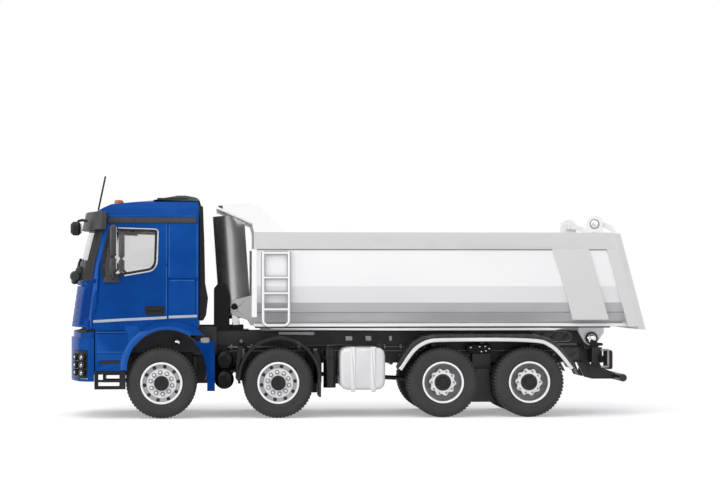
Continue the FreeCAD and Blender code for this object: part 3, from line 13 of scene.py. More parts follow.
import bmesh
import bpy
import numpy as np
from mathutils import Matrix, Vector

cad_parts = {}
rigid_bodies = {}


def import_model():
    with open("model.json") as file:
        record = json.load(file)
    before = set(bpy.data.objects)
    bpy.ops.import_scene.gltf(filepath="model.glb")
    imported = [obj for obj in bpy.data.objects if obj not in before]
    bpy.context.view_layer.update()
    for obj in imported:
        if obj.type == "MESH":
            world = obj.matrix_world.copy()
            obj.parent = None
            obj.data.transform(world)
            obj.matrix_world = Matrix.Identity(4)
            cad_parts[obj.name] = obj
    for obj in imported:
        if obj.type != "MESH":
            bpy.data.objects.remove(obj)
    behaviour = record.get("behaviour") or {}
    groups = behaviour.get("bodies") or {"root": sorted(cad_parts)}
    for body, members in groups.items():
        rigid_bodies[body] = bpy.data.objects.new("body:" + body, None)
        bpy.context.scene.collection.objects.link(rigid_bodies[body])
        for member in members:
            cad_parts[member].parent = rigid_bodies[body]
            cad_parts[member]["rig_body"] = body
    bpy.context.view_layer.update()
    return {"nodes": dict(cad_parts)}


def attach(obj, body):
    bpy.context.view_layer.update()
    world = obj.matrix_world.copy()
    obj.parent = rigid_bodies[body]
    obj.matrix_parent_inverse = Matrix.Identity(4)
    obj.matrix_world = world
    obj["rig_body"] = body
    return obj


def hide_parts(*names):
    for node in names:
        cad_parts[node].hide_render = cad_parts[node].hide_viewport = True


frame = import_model()

LOG = logging.getLogger("tipper")
MM = 0.001
Points = Sequence[tuple[float, float]]
Corner = tuple[float, float, float]

# Each axle's name and place along X, and the height of all of them.
STEERED = (("first", 61.05), ("second", 24.8))
DRIVEN = (("third", -26.75), ("fourth", -53.95))
AXLE_Z = 11.0
WHITE = (1.0, 1.0, 1.0, 1.0)


# ------------------------------------------------------------------------------------ mesh patches
@dataclass
class Patch:
    """A closed surface: its points in millimetres, and its faces in blocks of one number of corners each."""

    points: np.ndarray
    faces: list[np.ndarray]

    def mirrored(self) -> "Patch":
        """The same surface on the other side of the lorry, with its faces turned back outwards."""
        return Patch(self.points * np.array([1.0, -1.0, 1.0]), [block[:, ::-1] for block in self.faces])

    def moved(self, x: float = 0.0, y: float = 0.0, z: float = 0.0) -> "Patch":
        """The same surface, shifted."""
        return Patch(self.points + np.array([x, y, z]), self.faces)


def join(patches: Sequence[Patch]) -> Patch:
    """Put several patches into one.

    Args:
        patches: The surfaces, whose point numbers each start at nought.
    Returns:
        One patch with the point numbers of each shifted past those before it.
    """
    starts = np.cumsum([0] + [len(patch.points) for patch in patches])
    faces = [block + start for patch, start in zip(patches, starts) for block in patch.faces]
    return Patch(np.concatenate([patch.points for patch in patches]), faces)


def both(*patches: Patch) -> list[Patch]:
    """Left-hand patches, each followed by its mirror image."""
    return [side for patch in patches for side in (patch, patch.mirrored())]


def grid(points: np.ndarray, wrap_u: bool = False, wrap_v: bool = False) -> Patch:
    """Turn a table of points P(u, v) into quads between each point and its next along u and v.

    Args:
        points: An array of shape (u, v, 3).
        wrap_u: Whether the last row joins the first.
        wrap_v: Whether the last column joins the first.
    Returns:
        The patch of quads.
    """
    rows, columns = points.shape[:2]
    u, v = np.meshgrid(np.arange(rows if wrap_u else rows - 1), np.arange(columns if wrap_v else columns - 1),
                       indexing="ij")
    next_u, next_v = (u + 1) % rows, (v + 1) % columns
    here, onward = u * columns, next_u * columns
    quads = np.stack([here + v, onward + v, onward + next_v, here + next_v], -1)
    return Patch(points.reshape(-1, 3), [quads.reshape(-1, 4)])


def loft(rings: np.ndarray) -> Patch:
    """Join closed rings of points in order and close both ends with one face each.

    Args:
        rings: An array of shape (rings, points, 3).
    Returns:
        A closed patch.
    """
    sides = grid(rings, wrap_v=True)
    end = np.arange(rings.shape[1])[None]
    return Patch(sides.points, sides.faces + [end[:, ::-1], end + (len(rings) - 1) * rings.shape[1]])


def soften(corners: Points, radius: float, steps: int = 4) -> np.ndarray:
    """Round a polygon's corners.

    Each corner V becomes the curve (1-t)^2 A + 2t(1-t) V + t^2 B, where A and B lie on its two edges at
    the radius from V, or at 0.45 of a shorter edge.

    Args:
        corners: The polygon's corners.
        radius: How far from the corner the rounding starts.
        steps: Points on each rounded corner.
    Returns:
        The outline, of shape (points, 2).
    """
    here = np.asarray(corners, float)
    to_last, to_next = np.roll(here, 1, 0) - here, np.roll(here, -1, 0) - here
    long_last = np.linalg.norm(to_last, axis=1, keepdims=True)
    long_next = np.linalg.norm(to_next, axis=1, keepdims=True)
    start = here + to_last / long_last * np.minimum(radius, 0.45 * long_last)
    stop = here + to_next / long_next * np.minimum(radius, 0.45 * long_next)
    t = np.linspace(0, 1, steps)[None, :, None]
    curve = (1 - t) ** 2 * start[:, None] + 2 * t * (1 - t) * here[:, None] + t ** 2 * stop[:, None]
    return curve.reshape(-1, 2)


def inset(outline: np.ndarray, depth: float) -> np.ndarray:
    """Move each point of a closed outline inwards along the mean of its two edges' normals.

    Args:
        outline: Points of shape (points, 2).
        depth: How far each edge moves in.
    Returns:
        The smaller outline.
    """
    edge = np.roll(outline, -1, 0) - outline
    outline = np.asarray(outline, float)
    area = np.sum(outline[:, 0] * np.roll(outline[:, 1], -1) - np.roll(outline[:, 0], -1) * outline[:, 1])
    normal = np.stack([-edge[:, 1], edge[:, 0]], 1) * np.sign(area)
    normal /= np.maximum(np.linalg.norm(normal, axis=1, keepdims=True), 1e-9)
    before = np.roll(normal, 1, 0)
    spread = 1 + np.sum(normal * before, axis=1, keepdims=True)
    return outline + depth * (normal + before) / np.maximum(spread, 0.4)


class Plane(Enum):
    """The plane that an outline is drawn on; the slab's thickness runs along the third axis."""

    XY = (0, 1, 2)
    XZ = (0, 2, 1)
    YZ = (1, 2, 0)


def slab(outline: Points, low: float, high: float, edge: float = 0.1, plane: Plane = Plane.XZ,
         steps: int = 2) -> Patch:
    """A moulded plate: an outline between two levels, with both rims rounded by edge.

    At the angle t of a quarter turn a rim lies at level low + edge (1 - sin t), drawn in by edge (1 - cos t);
    the upper rim is its mirror image.

    Args:
        outline: Points of shape (points, 2).
        low: The lower level across the plane.
        high: The upper level.
        edge: Width of the rounding.
        plane: The plane of the outline.
        steps: Rings in each rim; two make a plain bevel.
    Returns:
        A closed patch.
    """
    edge = min(edge, (high - low) * 0.45)
    turn = np.linspace(math.pi / 2, 0, steps)
    lower = [(inset(outline, edge * (1 - math.cos(t))), low + edge * (1 - math.sin(t))) for t in turn]
    upper = [(shape, low + high - level) for shape, level in reversed(lower)]
    rings = np.zeros((2 * steps, len(outline), 3))
    for ring, (shape, level) in enumerate(lower + upper):
        rings[ring][:, plane.value[0]] = shape[:, 0]
        rings[ring][:, plane.value[1]] = shape[:, 1]
        rings[ring][:, plane.value[2]] = level
    return loft(rings)


def band(path: np.ndarray, width: float, shift: float = 0.0) -> np.ndarray:
    """The outline of a strip of one width along an open path.

    Each side is the path moved by half the width along its normal, which is its direction turned a quarter.

    Args:
        path: Points of shape (points, 2).
        width: Width of the strip.
        shift: How far the strip lies to the left of the path.
    Returns:
        A closed outline.
    """
    along = directions(path)
    normal = np.stack([-along[:, 1], along[:, 0]], 1)
    return np.concatenate([path + normal * (shift - width / 2), (path + normal * (shift + width / 2))[::-1]])


def curved(corners: Points, rounds: int = 3) -> np.ndarray:
    """Round an open path: a pass cuts each corner at a quarter of its two edges and keeps the ends.

    Args:
        corners: The path's corners.
        rounds: Number of passes.
    Returns:
        The path, of shape (points, 2).
    """
    path = np.asarray(corners, float)
    for _ in range(rounds):
        near, far = 0.75 * path[:-1] + 0.25 * path[1:], 0.25 * path[:-1] + 0.75 * path[1:]
        path = np.concatenate([path[:1], np.stack([near, far], 1).reshape(-1, 2), path[-1:]])
    return path


def denser(corners: Points, count: int) -> np.ndarray:
    """Put more points on an open path, at even steps from its first corner's number to its last's.

    Args:
        corners: The path's corners.
        count: How many points.
    Returns:
        The path, of shape (count, 2).
    """
    line = np.asarray(corners, float)
    steps = np.linspace(0, len(line) - 1, count)
    return np.stack([np.interp(steps, np.arange(len(line)), line[:, k]) for k in (0, 1)], 1)


def directions(line: np.ndarray) -> np.ndarray:
    """The unit direction of a path at each of its points."""
    along = np.gradient(line, axis=0)
    return along / np.linalg.norm(along, axis=1, keepdims=True)


def ribbon(path: Points, width: float, low: float, high: float, edge: float = 0.12) -> Patch:
    """A bar that follows a path of x and z: at each point, an eight-cornered section across the path.

    A corner at offset s across and level y lies at (x + s nx, y, z + s nz), where n is the path's normal.

    Args:
        path: The middle line.
        width: Width across the path.
        low: The inner level of y.
        high: The outer level.
        edge: Width of the bevels.
    Returns:
        A closed patch.
    """
    line = np.asarray(path, float)
    along = directions(line)
    normal = np.stack([-along[:, 1], along[:, 0]], 1)
    half = width / 2
    across = np.array([-half + edge, half - edge, half, half, half - edge, -half + edge, -half, -half])
    level = np.array([low, low, low + edge, high - edge, high, high, high - edge, low + edge])
    flat = line[:, None, :] + normal[:, None, :] * across[None, :, None]
    return loft(np.stack([flat[..., 0], np.broadcast_to(level, flat.shape[:2]), flat[..., 1]], -1))


def arc(x: float, z: float, radius: float, start: float, stop: float, steps: int = 24) -> np.ndarray:
    """Points on a circle: centre plus radius times (cos a, sin a), for a from start to stop in degrees."""
    angle = np.radians(np.linspace(start, stop, steps))
    return np.stack([x + radius * np.cos(angle), z + radius * np.sin(angle)], 1)


def turned(patch: Patch, degrees: float) -> Patch:
    """Turn a patch about the upright line through nought: x' = x cos a - y sin a and y' = x sin a + y cos a.

    Args:
        patch: The surface.
        degrees: The angle.
    Returns:
        The turned surface.
    """
    angle = math.radians(degrees)
    cos, sin = math.cos(angle), math.sin(angle)
    matrix = np.array([[cos, sin, 0], [-sin, cos, 0], [0, 0, 1]])
    return Patch(patch.points @ matrix, patch.faces)


def rectangle(x: tuple[float, float], z: tuple[float, float], radius: float = 0.3) -> np.ndarray:
    """A rectangle between two pairs of coordinates, with rounded corners or, at radius nought, plain ones."""
    corners = [(x[0], z[0]), (x[1], z[0]), (x[1], z[1]), (x[0], z[1])]
    return soften(corners, radius) if radius else np.array(corners)


def lathe(profile: Points, centre: tuple[float, float, float], axis: int = 1, steps: int = 48,
          ring: bool = False) -> Patch:
    """Turn a profile about an axis: the point (r, a) becomes r cos t and r sin t across it, and a along it.

    Args:
        profile: Pairs of radius and place along the axis.
        centre: A point of the axis, which a is counted from.
        axis: 0, 1 or 2 for an axis along X, Y or Z.
        steps: Places round the axis.
        ring: Whether the profile is a closed loop, as for a ring.
    Returns:
        A closed patch, if the profile is a loop or starts and ends at radius nought.
    """
    radius, along = np.asarray(profile, float).T
    turn = np.linspace(0, 2 * math.pi, steps, endpoint=False)[:, None]
    points = np.zeros((steps, len(radius), 3))
    first, second = [i for i in range(3) if i != axis]
    points[..., first] = radius * np.cos(turn)
    points[..., second] = radius * np.sin(turn)
    points[..., axis] = along
    return grid(points + np.array(centre), wrap_u=True, wrap_v=ring)


def tube(path: Sequence[Sequence[float]], radius: float, sides: int = 12) -> Patch:
    """Carry a circle along a path: P(s, t) = path(s) + radius (n cos t + b sin t), n and b square to it.

    Args:
        path: Points of shape (points, 3).
        radius: Radius of the tube.
        sides: Points round it.
    Returns:
        A closed patch.
    """
    line = np.asarray(path, float)
    along = directions(line)
    spread = np.ptp(line, axis=0)
    side = np.zeros(3)
    side[int(np.argmin(spread))] = 1.0
    first = np.cross(along, side)
    first /= np.linalg.norm(first, axis=1, keepdims=True)
    second = np.cross(along, first)
    turn = np.linspace(0, 2 * math.pi, sides, endpoint=False)[None, :, None]
    return loft(line[:, None] + radius * (first[:, None] * np.cos(turn) + second[:, None] * np.sin(turn)))


def studs(centres: np.ndarray, radius: float, low: float, high: float, axis: int = 1,
          sides: int = 10) -> list[Patch]:
    """Domed bolt heads at several places.

    Args:
        centres: Places of shape (studs, 3), whose coordinate along the axis is added to low and high.
        radius: Radius of each head.
        low: Start along the axis.
        high: Top along the axis.
        axis: 0, 1 or 2.
        sides: Places round each head.
    Returns:
        One closed patch for each head.
    """
    rise = high - low
    profile = [(0, low), (radius, low), (radius, low + 0.6 * rise), (0.75 * radius, high - 0.1 * rise),
               (0, high)]
    return [lathe(profile, tuple(place), axis, sides) for place in centres]


# ---------------------------------------------------------------------------------------- finishes
def linear(code: str) -> tuple[float, float, float, float]:
    """Turn an sRGB hex colour into the linear values that shaders take.

    Args:
        code: Six hex digits after a #.
    Returns:
        Red, green, blue and an alpha of one.
    """
    parts = [int(code[i:i + 2], 16) / 255 for i in (1, 3, 5)]
    red, green, blue = [c / 12.92 if c <= 0.04045 else ((c + 0.055) / 1.055) ** 2.4 for c in parts]
    return red, green, blue, 1.0


def put(tree: bpy.types.NodeTree, kind: str, settings: Optional[dict] = None,
        inputs: Optional[dict] = None) -> bpy.types.Node:
    """Add a node with its settings and links.

    Args:
        tree: The node tree.
        kind: The node's type name.
        settings: Properties of the node.
        inputs: Values of its inputs, or the outputs that are linked to them.
    Returns:
        The node.
    """
    node = tree.nodes.new(kind)
    for name, value in (settings or {}).items():
        setattr(node, name, value)
    for name, value in (inputs or {}).items():
        if isinstance(value, bpy.types.NodeSocket):
            tree.links.new(value, node.inputs[name])
        else:
            node.inputs[name].default_value = value
    return node


class Grain(Enum):
    """What fine structure a finish has: how its noise is stretched along X, Y and Z."""

    EVEN = (1.0, 1.0, 1.0)
    TURNED = (0.04, 0.04, 1.0)
    DRAWN_X = (0.03, 1.0, 1.0)
    DRAWN_Z = (1.0, 1.0, 0.05)
    CHEQUER = (0.0, 0.0, 0.0)


@dataclass(frozen=True)
class Finish:
    """A finish, from what it is made of and how its surface was made; some finishes also carry painted light
    or shade.
    """

    name: str
    tone: str
    second: str
    metallic: float = 0.0
    roughness: float = 0.4
    spread: float = 0.1
    patch_mm: float = 9.0
    grain: Grain = Grain.EVEN
    grain_mm: float = 0.35
    height_mm: float = 0.01
    coat: float = 0.0
    coat_roughness: float = 0.06
    shine: float = 0.5
    ior: float = 1.5
    # Edge tone and its threshold: partly rubbed wear, partly a painted highlight on outward edges.
    edge_wear_and_highlight: str = ""
    edge_wear_and_highlight_at: float = 0.54
    clear: float = 0.0

    def material(self) -> bpy.types.Material:
        """Build the material once and return it."""
        found = bpy.data.materials.get(self.name)
        if found:
            return found
        made = bpy.data.materials.new(self.name)
        made.use_nodes = True
        tree = made.node_tree
        tree.nodes.clear()
        place = put(tree, "ShaderNodeTexCoord").outputs["Object"]
        slow = put(tree, "ShaderNodeTexNoise", inputs={
            "Vector": place, "Scale": 1 / (self.patch_mm * MM), "Detail": 3.0, "Roughness": 0.55})
        shade = put(tree, "ShaderNodeMapRange", inputs={
            "Value": slow.outputs["Fac"], "From Min": 0.35, "From Max": 0.65})
        tones = put(tree, "ShaderNodeMix", {"data_type": "RGBA"}, {
            "Factor": shade.outputs["Result"], "A": linear(self.tone), "B": linear(self.second)})
        colour = tones.outputs["Result"]
        fine = self.fine_height(tree, place)
        if self.edge_wear_and_highlight:
            colour = self.wear_and_highlight_edges(tree, colour, slow.outputs["Fac"])
        rough = put(tree, "ShaderNodeMapRange", inputs={
            "Value": fine, "To Min": max(self.roughness - self.spread, 0.02),
            "To Max": min(self.roughness + self.spread, 1.0)})
        relief = put(tree, "ShaderNodeBump", inputs={
            "Height": fine, "Strength": 0.9, "Distance": self.height_mm * MM})
        shader = put(tree, "ShaderNodeBsdfPrincipled", inputs={
            "Base Color": colour, "Metallic": self.metallic, "Roughness": rough.outputs["Result"],
            "Normal": relief.outputs["Normal"], "Coat Weight": self.coat,
            "Coat Roughness": self.coat_roughness, "Transmission Weight": self.clear})
        if not self.metallic:
            shader.inputs["IOR"].default_value = self.ior
            shader.inputs["Specular IOR Level"].default_value = self.shine
        put(tree, "ShaderNodeOutputMaterial", inputs={"Surface": shader.outputs["BSDF"]})
        return made

    def fine_height(self, tree: bpy.types.NodeTree, place: bpy.types.NodeSocket) -> bpy.types.NodeSocket:
        """The fine relief: stretched noise, or raised diamonds where two sets of slanted waves meet.

        Args:
            tree: The node tree.
            place: The coordinates.
        Returns:
            A height from nought to one.
        """
        scale = 1 / (self.grain_mm * MM)
        if self.grain is not Grain.CHEQUER:
            stretched = put(tree, "ShaderNodeMapping", inputs={"Vector": place, "Scale": self.grain.value})
            return put(tree, "ShaderNodeTexNoise", inputs={
                "Vector": stretched.outputs["Vector"], "Scale": scale, "Detail": 2.0}).outputs["Fac"]
        waves = []
        for turn in (0.8, -0.8):
            turned = put(tree, "ShaderNodeMapping", inputs={"Vector": place, "Rotation": (turn, turn, turn)})
            waves.append(put(tree, "ShaderNodeTexWave", {"bands_direction": "X"}, {
                "Vector": turned.outputs["Vector"], "Scale": scale / 6.3}).outputs["Fac"])
        both_waves = put(tree, "ShaderNodeMath", {"operation": "MULTIPLY"}, {0: waves[0], 1: waves[1]})
        return both_waves.outputs["Value"]

    def wear_and_highlight_edges(self, tree: bpy.types.NodeTree, colour: bpy.types.NodeSocket,
                  patches: bpy.types.NodeSocket) -> bpy.types.NodeSocket:
        """Mix the edge tone in where the surface bends outwards, more in some patches than in others: partly
        rubbed wear, partly a painted highlight.

        Args:
            tree: The node tree.
            colour: The colour so far.
            patches: A slow noise.
        Returns:
            The colour with its edges worn and painted with a highlight.
        """
        bend = put(tree, "ShaderNodeNewGeometry").outputs["Pointiness"]
        edge = put(tree, "ShaderNodeMapRange", inputs={
            "Value": bend, "From Min": self.edge_wear_and_highlight_at, "From Max": self.edge_wear_and_highlight_at + 0.08})
        share = put(tree, "ShaderNodeMath", {"operation": "MULTIPLY", "use_clamp": True},
                    {0: edge.outputs["Result"], 1: patches})
        return put(tree, "ShaderNodeMix", {"data_type": "RGBA"}, {
            "Factor": share.outputs["Value"], "A": colour, "B": linear(self.edge_wear_and_highlight)}).outputs["Result"]


# Enamel on die-cast zinc: deep even blue with a trace of clear coat, faint highlights, and paler edges that
# are partly rubbed wear and partly painted highlight.
BLUE = Finish("blue_enamel_on_zinc", "#002f72", "#003379", roughness=0.3, spread=0.04, patch_mm=16,
              grain_mm=0.5, height_mm=0.003, coat=0.04, shine=0.01, edge_wear_and_highlight="#1852a2", edge_wear_and_highlight_at=0.55)
# The same enamel a shade paler on ridges and rolled lips: a painted highlight, a brighter line that picks the
# panels out.
BLUE_PAINTED_HIGHLIGHT = Finish("blue_enamel_painted_highlight", "#0c4998", "#104e9f", roughness=0.28, spread=0.05,
                    patch_mm=8, grain_mm=0.5, height_mm=0.003, coat=0.05, coat_roughness=0.05, shine=0.1,
                    edge_wear_and_highlight="#346fb8")
# The same colour, paler, on the bumper and step panels: painted light, as if more light fell on them.
BLUE_PAINTED_LIGHT = Finish("blue_enamel_painted_light", "#0a4088", "#0d458f", roughness=0.3, spread=0.04,
                      patch_mm=16, grain_mm=0.5, height_mm=0.003, coat=0.04, shine=0.02, edge_wear_and_highlight="#2660b0")
# Silver lacquer with fine flake, sprayed thick: a near-white satin with no clear reflections.
SILVER = Finish("silver_lacquer_on_zinc", "#f2f2f2", "#ededee", roughness=0.42, spread=0.05, patch_mm=40,
                grain_mm=0.12, height_mm=0.004, edge_wear_and_highlight="#f0f0f0")
# The same lacquer, a shade darker, on the band where the tub's walls start to lean in: painted shade, as the
# light falls off there.
SILVER_LIGHT_SHADE = Finish("silver_lacquer_light_painted_shade", "#e1e1e2", "#dcdcdd", roughness=0.42, spread=0.05,
                    patch_mm=40, grain_mm=0.12, height_mm=0.004)
# The same lacquer in a greyer batch, as the rails, posts and tailgate rim show it.
SILVER_TRIM = Finish("grey_silver_lacquer", "#cbcbcb", "#c3c3c4", metallic=0.2, roughness=0.4, spread=0.05,
                     patch_mm=10, grain_mm=0.12, height_mm=0.004, edge_wear_and_highlight="#d8d8d8")
# The same lacquer, darker still, on the tub's lower facets: painted shade, as they turn downwards.
SILVER_DEEP_SHADE = Finish("silver_lacquer_deep_painted_shade", "#bcbcbd", "#b3b3b4", metallic=0.2, roughness=0.45, spread=0.05,
                     patch_mm=24, grain_mm=0.12, height_mm=0.004)
# Turned steel of the cylinder's cover: pale satin metal, fine lines round the tube, soft broad highlights.
TURNED_STEEL = Finish("turned_steel_satin", "#c6c6c7", "#bdbdbe", metallic=0.85, roughness=0.3, spread=0.06,
                      patch_mm=20, grain=Grain.TURNED, grain_mm=0.3, height_mm=0.004)
# Bright nickel on telescopic tubes: fine turned lines, clear reflections.
BRIGHT = Finish("polished_nickel", "#d9d9da", "#cfcfd1", metallic=1.0, roughness=0.18, spread=0.05,
                patch_mm=12, grain=Grain.TURNED, grain_mm=0.25, height_mm=0.002)
# Sprayed aluminium lacquer on pressed wheels: bright, slightly grainy.
WHEEL = Finish("aluminium_lacquer", "#f4f4f4", "#e9e9ea", metallic=0.1, roughness=0.38, spread=0.06,
               patch_mm=4, grain_mm=0.15, height_mm=0.004, edge_wear_and_highlight="#ffffff", edge_wear_and_highlight_at=0.53)
# The same lacquer on the flat discs, a little rougher and more uneven than on the rim's lip.
DISC = Finish("aluminium_lacquer_disc", "#f0f0f0", "#e0e0e1", metallic=0.1, roughness=0.42, spread=0.06,
              patch_mm=3, grain_mm=0.15, height_mm=0.006)
# Darker grey inside the rear wheels' dishes; on the front discs' outer ring it is painted shade, where their
# reflections darken.
DISH_GREY_AND_SHADE = Finish("wheel_grey_and_painted_shade", "#9c9c9d", "#8f8f91", metallic=0.2, roughness=0.5, patch_mm=4,
              grain_mm=0.15, height_mm=0.006, edge_wear_and_highlight="#a9aaac")
# Silver lacquer on the ladder's tubes.
LADDER = Finish("silver_lacquer_on_tube", "#efeff0", "#e6e6e7", metallic=0.1, roughness=0.4, spread=0.05,
                patch_mm=8, grain_mm=0.12, height_mm=0.004)
# Soft rubber: matt, greyish on its edges, partly where handled and partly painted highlight, with fine
# moulding grain.
RUBBER = Finish("moulded_rubber", "#232324", "#2b2b2c", roughness=0.72, spread=0.12, patch_mm=6,
                grain_mm=0.2, height_mm=0.012, edge_wear_and_highlight="#4a4a4b", edge_wear_and_highlight_at=0.53)
# Black injection-moulded plastic with a spark-eroded satin grain.
PLASTIC = Finish("moulded_black_plastic", "#131314", "#18181a", roughness=0.45, spread=0.1, patch_mm=7,
                 grain_mm=0.22, height_mm=0.008, shine=0.2, edge_wear_and_highlight="#343437", edge_wear_and_highlight_at=0.55)
# Smoother black plastic, as tanks and frames show it: soft highlights on the curves.
GLOSS_BLACK = Finish("smooth_black_plastic", "#0a0a0b", "#0e0e0f", roughness=0.3, spread=0.06, patch_mm=8,
                     grain_mm=0.4, height_mm=0.005, shine=0.35, edge_wear_and_highlight="#38383a", edge_wear_and_highlight_at=0.56)
# Gloss black enamel on the air tanks' domed ends: deep black with small, narrow highlights.
GLOSS_ENAMEL = Finish("gloss_black_enamel", "#08080a", "#0c0c0e", roughness=0.14, spread=0.05, patch_mm=8,
                      grain_mm=0.4, height_mm=0.002, shine=0.12)
# Dark grey moulded plastic of mirrors and visor: satin, with paler edges.
GREY_PLASTIC = Finish("moulded_grey_plastic", "#232425", "#2c2d2f", roughness=0.5, spread=0.1, patch_mm=6,
                      grain_mm=0.2, height_mm=0.01, shine=0.35, edge_wear_and_highlight="#4c4d4f")
# Smoked grey-green plastic of the roof deflector: a paler, softer black.
DEFLECTOR = Finish("smoked_grey_plastic", "#38423f", "#414b48", roughness=0.42, spread=0.1, patch_mm=6,
                   grain_mm=0.2, height_mm=0.01, shine=0.3, edge_wear_and_highlight="#6a7472")
# Sprayed chassis black over zinc, with a fine cast texture; the same black is painted shadow in the strip
# under the tub's foot rail.
CHASSIS_AND_SHADOW = Finish("black_lacquer_and_painted_shadow", "#0f0f10", "#171718", metallic=0.1, roughness=0.42, spread=0.12,
                 patch_mm=6, grain_mm=0.3, height_mm=0.02, shine=0.3, edge_wear_and_highlight="#3c3c3e", edge_wear_and_highlight_at=0.545)
# Brushed grey lacquer on small chassis fittings. The same grey is painted shade under the tub's rail, in its
# crease, along its foot and behind the ladder, and a painted highlight on the frame's flange edges.
GREY_METAL_AND_PAINTED_LIGHT = Finish("grey_lacquer_and_painted_light", "#77787a", "#66676a", metallic=0.5, roughness=0.45, spread=0.1,
                    patch_mm=4, grain=Grain.DRAWN_X, grain_mm=0.3, height_mm=0.01, edge_wear_and_highlight="#a0a1a3")
# Raised diamonds, about 1 mm apart, pressed into the mudguards' black strip.
CHEQUER = Finish("chequer_plate", "#242426", "#38383a", metallic=0.3, roughness=0.4, spread=0.15,
                 patch_mm=3, grain=Grain.CHEQUER, grain_mm=1.0, height_mm=0.12)
# Satin aluminium of the fuel tank, straps and guard rims: pale, with a soft upright roll mark.
TANK = Finish("satin_aluminium_tank", "#dededf", "#d4d4d6", metallic=0.1, roughness=0.4, spread=0.05,
              patch_mm=8, grain=Grain.DRAWN_Z, grain_mm=0.3, height_mm=0.004, edge_wear_and_highlight="#f0f0f0")
# Vacuum-plated chrome of lamp bulbs, window frames and mirror glass: small, clear reflections.
CHROME = Finish("plated_chrome", "#d6d6d8", "#c8c8ca", metallic=1.0, roughness=0.1, spread=0.04, patch_mm=5,
                grain_mm=0.3, height_mm=0.002)
# Clear acrylic: slightly grey, with crisp reflections.
GLASS = Finish("clear_acrylic", "#e9e9e9", "#e5e5e5", roughness=0.04, spread=0.02, patch_mm=20,
               grain_mm=2.0, height_mm=0.001, ior=1.49, clear=1.0)
# Smoked lamp reflectors: plated, then toned down.
SMOKED = Finish("smoked_reflector", "#6c7078", "#5c6068", metallic=0.9, roughness=0.2, spread=0.08,
                patch_mm=2, grain=Grain.DRAWN_Z, grain_mm=0.25, height_mm=0.01)
# Translucent lamp plastics, dyed through.
AMBER = Finish("amber_acrylic", "#c96a08", "#b85c06", roughness=0.15, spread=0.05, patch_mm=2,
               grain=Grain.DRAWN_Z, grain_mm=0.3, height_mm=0.02, ior=1.49, clear=0.15)
RED = Finish("red_acrylic", "#b40d12", "#8f0a10", roughness=0.18, spread=0.05, patch_mm=2, grain_mm=0.4,
             height_mm=0.02, ior=1.49, clear=0.2)
WHITE_LENS = Finish("clear_ribbed_lens", "#eceff2", "#dfe3e8", roughness=0.12, spread=0.05, patch_mm=2,
                    grain=Grain.DRAWN_Z, grain_mm=0.35, height_mm=0.03, ior=1.49, clear=0.6)
# Printed silver stripe: thin, flat ink with a slight sheen.
STRIPE = Finish("silver_ink", "#aeb3bd", "#a4a9b5", metallic=0.3, roughness=0.35, spread=0.05, patch_mm=6,
                grain_mm=0.2, height_mm=0.002)
# Dark moulded interior with a leather-like grain.
TRIM = Finish("grained_interior_plastic", "#26272a", "#2e2f33", roughness=0.6, spread=0.1, patch_mm=5,
              grain_mm=0.3, height_mm=0.03, edge_wear_and_highlight="#404146")


# ------------------------------------------------------------------------------------------ pieces
def link(name: str, data: bpy.types.ID) -> bpy.types.Object:
    """Put an object of a mesh, a lamp or a camera into the scene.

    Args:
        name: The object's name.
        data: What it shows.
    Returns:
        The object.
    """
    made = bpy.data.objects.new(name, data)
    bpy.context.scene.collection.objects.link(made)
    return made


def new_mesh(name: str, patches: Sequence[Patch], closed: bool = True) -> bpy.types.Mesh:
    """Make a mesh of patches, in metres.

    Args:
        name: The mesh's name.
        patches: Its surfaces.
        closed: Whether they are closed, so that doubled points are merged and faces turned outwards.
    Returns:
        The mesh.
    """
    whole = join(patches)
    mesh = bpy.data.meshes.new(name)
    faces = [face for block in whole.faces for face in block.tolist()]
    mesh.from_pydata((whole.points * MM).tolist(), [], faces)
    if closed:
        shape = bmesh.new()
        shape.from_mesh(mesh)
        bmesh.ops.remove_doubles(shape, verts=shape.verts, dist=1e-7)
        bmesh.ops.recalc_face_normals(shape, faces=shape.faces)
        shape.to_mesh(mesh)
        shape.free()
    return mesh


def dress(piece: bpy.types.Object, body: str, finish: Finish) -> bpy.types.Object:
    """Give a piece its finish and its body.

    Args:
        piece: The object.
        body: The CAD body that it rides on.
        finish: Its finish.
    Returns:
        The same object.
    """
    piece.data.materials.clear()
    piece.data.materials.append(finish.material())
    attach(piece, body)
    return piece


def build(name: str, patches: Sequence[Patch], body: str, finish: Finish,
          smooth: float = 32.0, replaces: Sequence[str] = ()) -> bpy.types.Object:
    """Make one object of closed patches: metres, merged, faces outwards, smooth below an angle.

    Args:
        name: The piece's name.
        patches: Its closed surfaces.
        body: The body it rides on.
        finish: Its finish.
        smooth: Edges sharper than this many degrees stay sharp.
        replaces: CAD nodes that it stands for.
    Returns:
        The object.
    """
    piece = link(name, new_mesh(name, patches))
    finish_surface(piece, smooth)
    if replaces:
        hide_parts(*replaces)
    return dress(piece, body, finish)


def fit(body: str, rows: Sequence[tuple[str, Sequence[Patch], Finish, str, float]]) -> None:
    """Build several pieces that are the same on both sides.

    Args:
        body: The body they ride on.
        rows: For each piece its name, left-hand surfaces, finish, slot and smoothing angle.
    """
    for name, patches, finish, slot, smooth in rows:
        build(name, both(*patches), body, finish, smooth)


